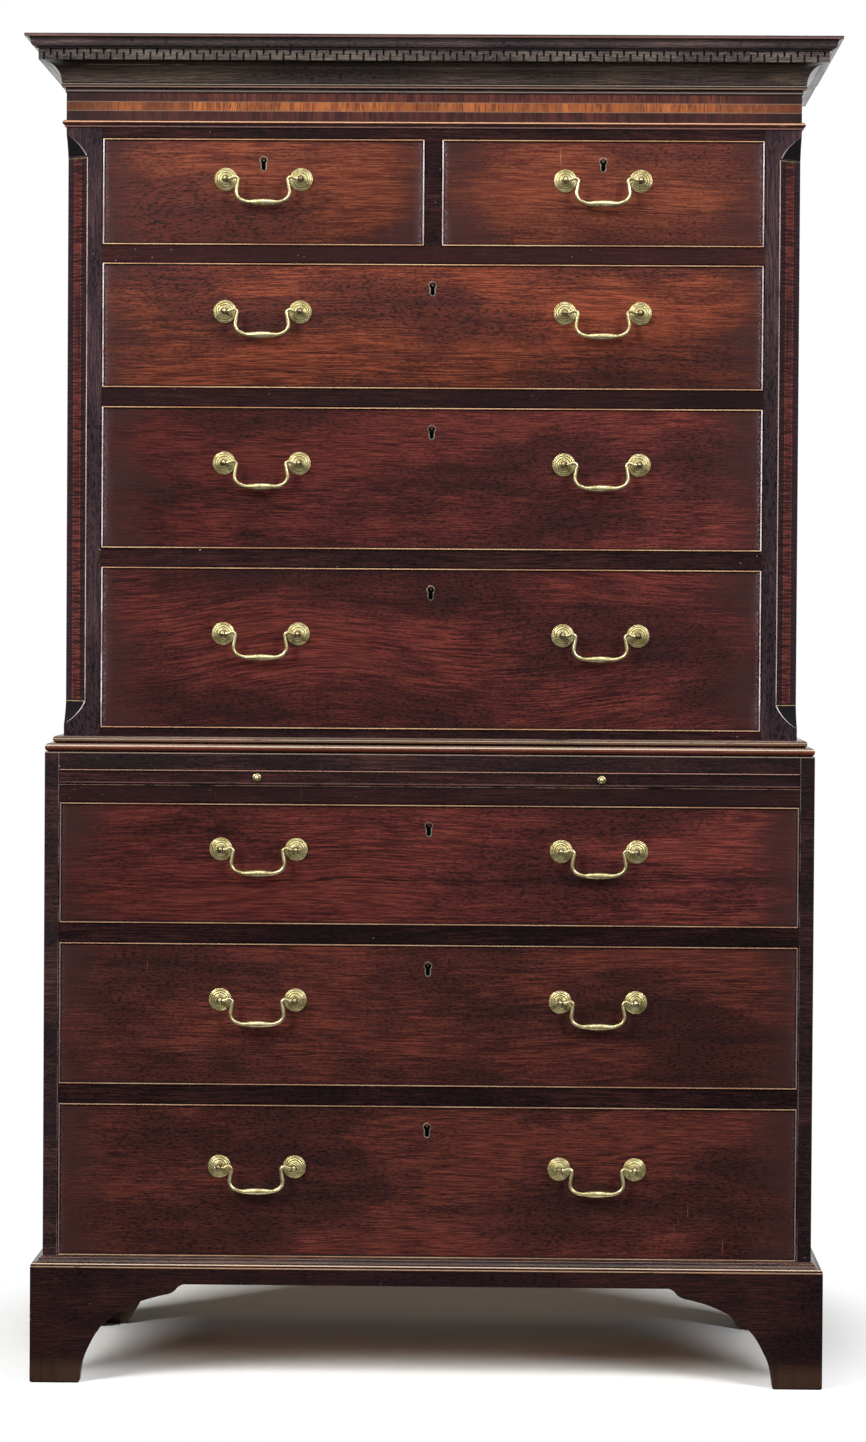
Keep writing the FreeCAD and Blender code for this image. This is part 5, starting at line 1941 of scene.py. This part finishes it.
@dataclass
class SlideKnobs(Piece):
    """Two small turned brass pulls of the brushing slide."""

    spacing: float = 480.0

    def build(self) -> None:
        """Makes the knobs in place of their node."""
        place = Place.of("slide_knobs")
        front = place.low[1] + 11.0
        profile = trace([(0.0, -10.0), (2.0, -10.0), (2.0, -0.1), (5.8, -0.1), (6.0, 0.3),
                         ((5.6, 1.0), (4.2, 1.3)), ((2.9, 2.0), (2.6, 2.9)),
                         ((4.6, 6.4), (2.2, 10.4)), ((1.4, 10.8), (0.0, 11.0))], 7)
        shells = [turned_shell(profile, (side * self.spacing / 2, front, place.middle[2]), 24)
                  for side in (-1, 1)]
        make("slide_pulls", shells, self.wear("brass"), "brushing_slide", "brass",
             "slide_knobs")


# --- the chest's finishes
class Row(Enum):
    """The rows of drawers, light, middle and dark: each took the light differently."""

    SHORT = (116, 63, 43), (84, 40, 31), (54, 26, 24)
    UPPER = (124, 63, 42), (86, 40, 30), (47, 23, 22)
    MIDDLE = (101, 46, 39), (63, 28, 26), (33, 16, 17)
    LOWER = (94, 46, 36), (60, 28, 25), (31, 17, 17)


def moulding(name: str, colours: Sequence[Colour], seed: float, *lines: tuple,
             **others: float) -> Mahogany:
    """The wood of a moulding, whose grain runs along it.

    Args:
        name: The wood's name.
        colours: Its light, middle and dark.
        seed: Which plank it is.
        lines: What each line along it is made of: painted highlights with wear, and painted shade.
        others: The wood's other fields.

    Returns:
        The wood.
    """
    drawn = tuple(Line(*line) for line in lines)
    return Mahogany(name, Grain.RUN, *colours, seed, lines=drawn, **others)


def mix_finishes() -> Finishes:
    """Mixes every finish that pieces share.

    Returns:
        The finishes, by what they are for.
    """
    # dark mahogany whose purple cast is a painted sheen
    rail = (72, 54, 56), (48, 36, 39), (34, 26, 29)
    warm = (96, 56, 46), (50, 30, 29), (30, 20, 22)
    soft = (158, 128, 92), (112, 82, 54)
    posts, width = Place.of("canted_corners"), CantedCorners.width * math.sqrt(2) * MM
    low_z = posts.low[2] + (CantedCorners.bottom_margin + CantedCorners.tongue)
    high_z = posts.high[2] - (CantedCorners.top_margin + CantedCorners.tongue)
    ground = Mahogany("post_ground", Grain.Z, *rail, 3.0, nicks=0.7, gloss=0.08)
    table = {
        # painted shade: the keyhole's well is painted near black
        "hollow": PlainWood("keyhole_painted_shade", Grain.Z, (16, 11, 10), (8, 6, 6)),
        # painted highlight with wear on the beads' noses, paler on the upright beads
        "bead": CockBead("cock_bead", (188, 150, 112), (158, 112, 80), (100, 64, 48)),
        "side_bead": CockBead("upright_bead", (190, 180, 182), (142, 119, 118), (80, 54, 48),
                              0.85, 0.0007, 0.85),
        # painted highlights with wear on the bead and its fillet, and dark lines of painted shade beside them
        "bead_wood": moulding(
            "frieze_bead", ((120, 72, 56), (84, 50, 42), (44, 29, 28)), 6.0,
            (13.2, 0.9, (176, 134, 102), 0.95, 0.25), (15.8, 1.1, (40, 19, 15), 0.8),
            (10.2, 1.5, (34, 17, 16)), (7.0, 0.9, (20, 12, 12)),
            (4.2, 0.7, (92, 76, 74), 0.8), coat=0.3),
        "brass": Brass("swan_neck_brass", (204, 194, 152), (164, 150, 104), (78, 66, 40),
                       0.45, 0.34),
        "rose": Brass("rose_brass", (196, 186, 140), (156, 142, 92), (74, 62, 36), 0.45, 0.36,
                      0.4),
        "post": Brass("post_brass", (170, 158, 122), (104, 88, 60), (42, 32, 22), 0.8, 0.30),
        "thread": Brass("escutcheon_brass", (150, 146, 130), (96, 90, 76), (40, 34, 28),
                        0.8, 0.42),
        "iron": Iron("lock_iron"),
        "stile": PostWood(ground, width),
        "cant": CantVeneer("cant_veneer", low_z * MM, high_z * MM, width,
                           Mahogany("cant_ground", Grain.Z, *rail, 8.0)),
        # painted sheen: the crown's grey-purple tones; a reddish band on the top fillet, and dark lines of painted
        # shade under the overhangs
        "crown": moulding(
            "crown_wood", ((100, 80, 76), (67, 57, 57), (45, 39, 41)), 11.0,
            (63.3, 2.0, (96, 68, 62), 0.9), (60.6, 0.9, (26, 20, 20)),
            (40.8, 1.5, (32, 26, 27)), coat=0.3),
        # painted highlights with wear on the astragal and fillet, and dark lines of painted shade under them
        "neck": moulding(
            "neck_wood", rail, 11.6, (16.9, 0.6, (120, 112, 96)), (15.3, 0.6, (34, 24, 14)),
            (13.2, 1.0, (126, 100, 86), 1.0, 0.24), (10.2, 1.4, (24, 13, 12)),
            (7.4, 1.0, (30, 20, 18)), (4.0, 0.8, (104, 94, 84), 0.9),
            (1.6, 0.9, (34, 25, 24)), coat=0.3),
        # painted highlights with wear on the fillet, the ogee's swell and the step, and dark lines of painted
        # shade between them
        "base": moulding(
            "base_wood", warm, 12.7, (18.8, 0.8, (136, 108, 80), 1.0, 0.30),
            (23.3, 0.8, (172, 150, 126), 1.0, 0.30), (20.9, 0.8, (22, 12, 12)),
            (16.6, 0.8, (22, 12, 12)), (27.0, 1.2, (24, 16, 16)),
            (30.6, 0.6, (100, 88, 72)), (33.4, 0.9, (22, 14, 14)),
            (38.6, 0.6, (104, 84, 72)), (36.2, 0.8, (22, 14, 14)), coat=0.3),
        # painted highlights with wear on both rolls, and dark lines of painted shade under them
        "roll": moulding(
            "waist_roll_wood", warm, 12.0, (30.0, 1.0, (172, 152, 132), 0.95, 0.30),
            (32.6, 0.9, (112, 88, 70), 0.9, 0.34), (27.4, 0.9, (104, 52, 38)),
            (24.8, 1.3, (66, 28, 20)), (21.2, 2.0, (16, 9, 9)),
            (52.2, 0.7, (150, 134, 112), 0.9, 0.34), (50.0, 0.8, (118, 86, 64)),
            (56.4, 0.9, (112, 88, 74), 0.9, 0.34), (46.6, 1.6, (18, 9, 8)),
            (54.2, 0.6, (58, 40, 34)), coat=0.4),
        "cove": moulding(
            "cove_wood", ((86, 72, 62), (55, 47, 43), (38, 32, 31)), 13.0,
            (34.0, 0.7, (150, 136, 110), 0.8, 0.42, (2905.0, 3062.0)),
            (33.0, 0.6, (134, 120, 96), 0.7, 0.46, (3600.0, 3760.0)), scratches=0.5, coat=0.2),
        "fret": Mahogany("fret_wood", Grain.X, (110, 100, 91), (80, 71, 68), (50, 43, 43),
                         14.0),
        "plinth": moulding(
            "plinth_wood", ((54, 28, 27), (30, 19, 19), (20, 14, 15)), 15.0,
            (0.0, 34.0, (58, 42, 30), 0.5, 0.40), (0.0, 2.4, (12, 9, 8), 0.9, 0.2),
            bend=0.05, nicks=0.9, coat=0.0, gloss=0.05),
        "lower_band": CrossBand("lower_cross_band", (77, 39, 33), (51, 26, 24), (28, 17, 17),
                                0.0130, 21.0, 2.5),
        "satinwood": CrossBand("satinwood_band", (154, 88, 46), (112, 60, 36), (76, 40, 27),
                               0.0136, 22.0, 3.2, True, 7.0, 0.75),
        "upper_band": CrossBand("upper_cross_band", (90, 46, 36), (60, 30, 27), (31, 18, 19),
                                0.0118, 23.0, 3.9),
        "pine_x": PlainWood("pine_across", Grain.X, *soft, 31.0),
        # painted shade with dirt: the pine under the case is painted dark where it lies in shadow
        "dirt_and_shade_pine": PlainWood("pine_under", Grain.X, (74, 56, 40), (50, 37, 27), 33.0),
        "pine_z": PlainWood("pine_upright", Grain.Z, *soft, 32.0),
    }
    return {use: finish.dress() for use, finish in table.items()}


@dataclass
class CarriedNodes(Piece):
    """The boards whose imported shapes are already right: carcases, backs, rails, slide."""

    lower_half: float
    upper_half: float
    rail_depth: float = 70.0
    post_depth: float = 44.0

    def case(self, name: str, half: float, seed: float, depth: float,
             tones: Sequence[Colour], *lines: Line) -> None:
        """Dresses one case and its rails.

        Args:
            name: The case's body.
            half: Half its width.
            seed: Which planks it is made of.
            depth: How deep its polished rails are.
            tones: The rails' light, middle and dark.
            lines: The rails' worn edges.
        """
        shell, front = Place.of(name + "_carcase"), Place.of(name + "_rails").low[1]
        sides = Mahogany(name + "_sides", Grain.Z, (112, 58, 48), (72, 38, 36), (46, 28, 30),
                         seed, waves=0.25, slant=0.35, bend=0.05)
        edges = Mahogany(name + "_edges", Grain.X, (64, 40, 39), (36, 23, 24), (23, 16, 17),
                         seed + 4.0, nicks=0.9, gloss=0.15)
        lying = PlainWood(name + "_boards", Grain.X, (150, 112, 78), (104, 70, 48), seed)
        dress_node(name + "_carcase", CaseBoards(
            name + "_wood", (half - BOARD) * MM, shell.low[1] * MM, sides, edges, lying,
            shell.high[2] - 0.9).dress())
        rails = Mahogany(name + "_rails_front", Grain.X, *tones, seed + 2.0, nicks=0.8,
                         gloss=0.15)
        pine = PlainWood("runner_pine", Grain.Y, (158, 128, 92), (112, 82, 54), 41.0)
        dress_node(name + "_rails", RailsAndRunners(
            name + "_rail_wood", (front + depth) * MM, rails, pine, lines).dress())

    def build(self) -> None:
        """Dresses them all."""
        pale = (120, 100, 84)
        self.case("lower_case", self.lower_half, 51.0, self.rail_depth,
                  ((52, 28, 27), (25, 13, 14), (16, 10, 11)),
                  Line(822.0, 12.0, (66, 40, 40), 0.14, 0.0),
                  # painted highlights with wear on the arrises round the slide's opening
                  Line(834.6, 0.5, pale, 0.7, 0.44), Line(857.4, 0.5, pale, 0.7, 0.42))
        self.case("upper_case", self.upper_half, 57.0, self.post_depth,
                  ((57, 32, 30), (34, 18, 19), (23, 14, 16)),
                  Line(1575.5, 13.0, (80, 40, 38), 0.14, 0.0),
                  Line(1376.0, 13.0, (24, 15, 16), 0.4, 0.0))
        for case in ("lower_case", "upper_case"):
            dress_node(case + "_back", self.finishes["pine_z"])
        slide = Place.of("brushing_slide")
        edge = Mahogany("slide_edge", Grain.X, (66, 38, 36), (38, 20, 21), (22, 13, 14), 61.0)
        top = PlainWood("slide_boards", Grain.X, (140, 84, 60), (92, 50, 38), 62.0)
        low, high, painted_quirk_shade = slide.low[2], slide.high[2], (18, 9, 9)
        dress_node("brushing_slide", RailsAndRunners(
            "slide_wood", (slide.low[1] + 16.0) * MM, edge, top,
            # painted highlights with wear on the slide's arrises, and painted shade in the grooves beside them
            (Line(high - 0.4, 0.7, (124, 88, 74), 1.0, 0.28), Line(high - 2.2, 0.9, painted_quirk_shade),
             Line(high - 3.8, 0.5, (92, 76, 64), 0.7, 0.40), Line(low + 0.6, 0.9, painted_quirk_shade),
             Line(low + 2.2, 0.5, (96, 52, 46), 0.9, 0.42), Line(low + 3.6, 0.6, painted_quirk_shade))
            ).dress())


# --- the studio
@dataclass
class Studio:
    """A pale floor, soft lamps, a white background and a level camera."""

    eye: tuple[float, float, float] = (0.1251, -6.8334, 1.0775)
    turn: tuple[float, float, float] = (88.652, -0.3676, 1.1797)    # degrees
    shift: Pair = (0.0070, 0.0017)
    seen: float = 0.30531       # the height of the view at one metre, in metres
    sensor: float = 36.0
    floor_half: float = 14.0
    dim: float = 0.018          # the far studio, as the chest sees it
    overhead: float = 0.035

    def shown(self, graph: Graph, back: Value) -> Value:
        """How bright the far studio is: white to the camera, and behind the chest in gloss.

        Args:
            graph: The graph that asks.
            back: Over 0 where the studio lies behind the chest.

        Returns:
            The strength, where 1 is white.
        """
        camera, gloss, glass = (graph.node("LightPath", {}, "Is %s Ray" % kind)
                                for kind in ("Camera", "Glossy", "Transmission"))
        seen = camera.most(gloss.most(glass) * back.rise(0.15, 0.5))
        return seen * (1.0 - self.dim) + self.dim

    def floor(self) -> None:
        """Lays the floor.

        It is pale round the chest and keeps its shadow. Far off it is plain white to the
        camera and in mirrors turned from it, and dim to everything else.
        """
        graph = Graph("studio_floor")
        x, y, _ = graph.place()
        sideways, behind = x * 1.35, y - 0.25
        far = (sideways * sideways + behind * behind).root().rise(0.70, 1.02)
        grain = graph.noise((x, y), (30.0, 30.0), 0.0, 3.0)
        colour = graph.mix(grain, (251, 251, 250), (247, 247, 246))
        lit = graph.node("BsdfDiffuse", {"Color": colour})
        white = graph.node("Emission", {"Color": (1, 1, 1, 1),
                                        "Strength": self.shown(graph, y)})
        graph.end(graph.node("MixShader", {0: far, 1: lit, 2: white}))
        side = np.linspace(-self.floor_half, self.floor_half, 9)
        points = np.stack(np.meshgrid(side, side, [0.0], indexing="ij"), -1)
        mesh = bpy.data.meshes.new("floor")
        mesh.from_pydata(points.reshape(-1, 3).tolist(), [], quads(9, 9).tolist())
        mesh.materials.append(graph.material)
        in_scene("floor", mesh)

    def lamp(self, name: str, place: Sequence[float], size: Pair,
             power: float, colour: Sequence[float] = (1.0, 1.0, 1.0),
             aim: Sequence[float] = (0.0, 0.0, 0.95), spread: float = 180.0,
             mirrored: bool = True) -> None:
        """Hangs one soft box.

        Args:
            name: Its name.
            place: Where it hangs, in metres.
            size: Its width and height in metres.
            power: Its power in watts.
            colour: The light's colour.
            aim: The point that it faces.
            spread: The angle that its grid lets through, in degrees.
            mirrored: Whether polish shows it.
        """
        data = bpy.data.lights.new(name, "AREA")
        data.shape = "RECTANGLE"
        data.size, data.size_y = size
        data.energy, data.color, data.spread = power, colour, math.radians(spread)
        box = in_scene(name, data)
        box.location = place
        box.visible_glossy = mirrored
        way = Vector(aim) - Vector(place)
        box.rotation_euler = way.to_track_quat("-Z", "Y").to_euler()

    def sky(self) -> None:
        """Fills the world: white to the camera, brighter overhead and behind for the rest."""
        world = bpy.context.scene.world = bpy.data.worlds.new("studio_sky")
        world.use_nodes = True
        graph = Graph(tree=world.node_tree)
        way = graph.split(graph.node("TexCoord", {}, "Generated"))
        overhead = way[2].rise(0.3, 1.0, self.overhead) + self.dim
        strength = self.shown(graph, way[1]).most(overhead)
        graph.end(graph.node("Background", {"Color": (1, 1, 1, 1), "Strength": strength}),
                  "World")

    def camera(self) -> None:
        """Stands the camera in front of the chest, a little to its right."""
        data = bpy.data.cameras.new("camera")
        data.sensor_width = self.sensor
        data.lens = self.sensor / self.seen
        data.shift_x, data.shift_y = self.shift
        data.clip_end = 100.0
        camera = bpy.context.scene.camera = in_scene("camera", data)
        camera.location = self.eye
        camera.rotation_euler = [math.radians(angle) for angle in self.turn]

    def build(self) -> None:
        """Sets up the whole studio."""
        self.camera()
        self.floor()
        self.sky()
        self.lamp("key_left", (-3.4, -4.6, 3.9), (2.0, 3.2), 510.0, (1.0, 0.99, 0.97))
        self.lamp("fill_right", (3.6, -4.8, 3.6), (2.0, 3.2), 430.0, (0.98, 0.99, 1.0))
        self.lamp("over", (0.0, -1.6, 5.0), (3.2, 1.0), 110.0)
        for side in (-1, 1):
            self.lamp("rear", (side * 3.4, 3.6, 0.9), (1.6, 1.2), 16.0, aim=(0.0, 0.3, 1.7),
                      spread=38.0, mirrored=False)
        bpy.context.scene.view_settings.view_transform = "Standard"


# Each drawer: its name, its row, which plank it is, its painted light (how much brighter its top and right end are
# painted) and what differs in its wood.
DRAWERS: tuple[tuple[str, Row, float, Pair, dict[str, float]], ...] = (
    ("short_drawer_left", Row.SHORT, 71.0, (0.45, -0.42), {}),
    ("short_drawer_right", Row.SHORT, 73.4, (0.35, 0.1), {}),
    ("upper_drawer_1", Row.UPPER, 75.1, (0.60, -0.16), {}),
    ("upper_drawer_2", Row.MIDDLE, 78.7, (0.0, 0.55), {"waves": 0.15}),
    ("upper_drawer_3", Row.MIDDLE, 81.3, (0.0, 0.22),
     {"waves": 0.35, "slant": 0.8, "bend": 0.05}),
    ("lower_drawer_1", Row.MIDDLE, 84.9, (0.15, 0.52), {}),
    ("lower_drawer_2", Row.LOWER, 87.2, (0.1, -0.15), {"waves": 0.2}),
    ("lower_drawer_3", Row.LOWER, 90.6, (0.0, 0.0), {"waves": 0.25, "slant": 0.5}),
)


def main() -> None:
    """Builds the chest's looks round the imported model, in order."""
    logging.basicConfig(level=logging.INFO, format="%(name)s: %(message)s")
    Studio().build()
    finishes = mix_finishes()
    lower_place, upper_place = Place.of("lower_case_carcase"), Place.of("upper_case_carcase")
    lower = CaseEdge(lower_place.high[0], lower_place.low[1], lower_place.high[1])
    upper = CaseEdge(upper_place.high[0], Place.of("canted_corners").low[1],
                     upper_place.high[1])
    CarriedNodes(finishes, lower.half, upper.half).build()
    BracketFeet(finishes, lower).build()
    BaseMoulding(finishes, lower, Place.of("base_moulding").low[2]).build()
    WaistMoulding(finishes, lower, Place.of("waist_moulding").low[2]).build()
    CantedCorners(finishes, upper.half, upper.front).build()
    Frieze(finishes, upper, Place.of("frieze").low[2]).build()
    Cornice(finishes, upper, Place.of("cornice").low[2]).build()
    SlideKnobs(finishes).build()
    bodies = frame["record"]["behaviour"]["bodies"]
    for name, row, seed, painted_light, extra in DRAWERS:
        wood = Mahogany(name + "_wood", Grain.X, *row.value, seed, **extra)
        bails = sorted(body for body in bodies if body.startswith(name + "_bail"))
        Drawer(finishes, name, wood, painted_light, bails).build()


if __name__ == "__main__":
    main()
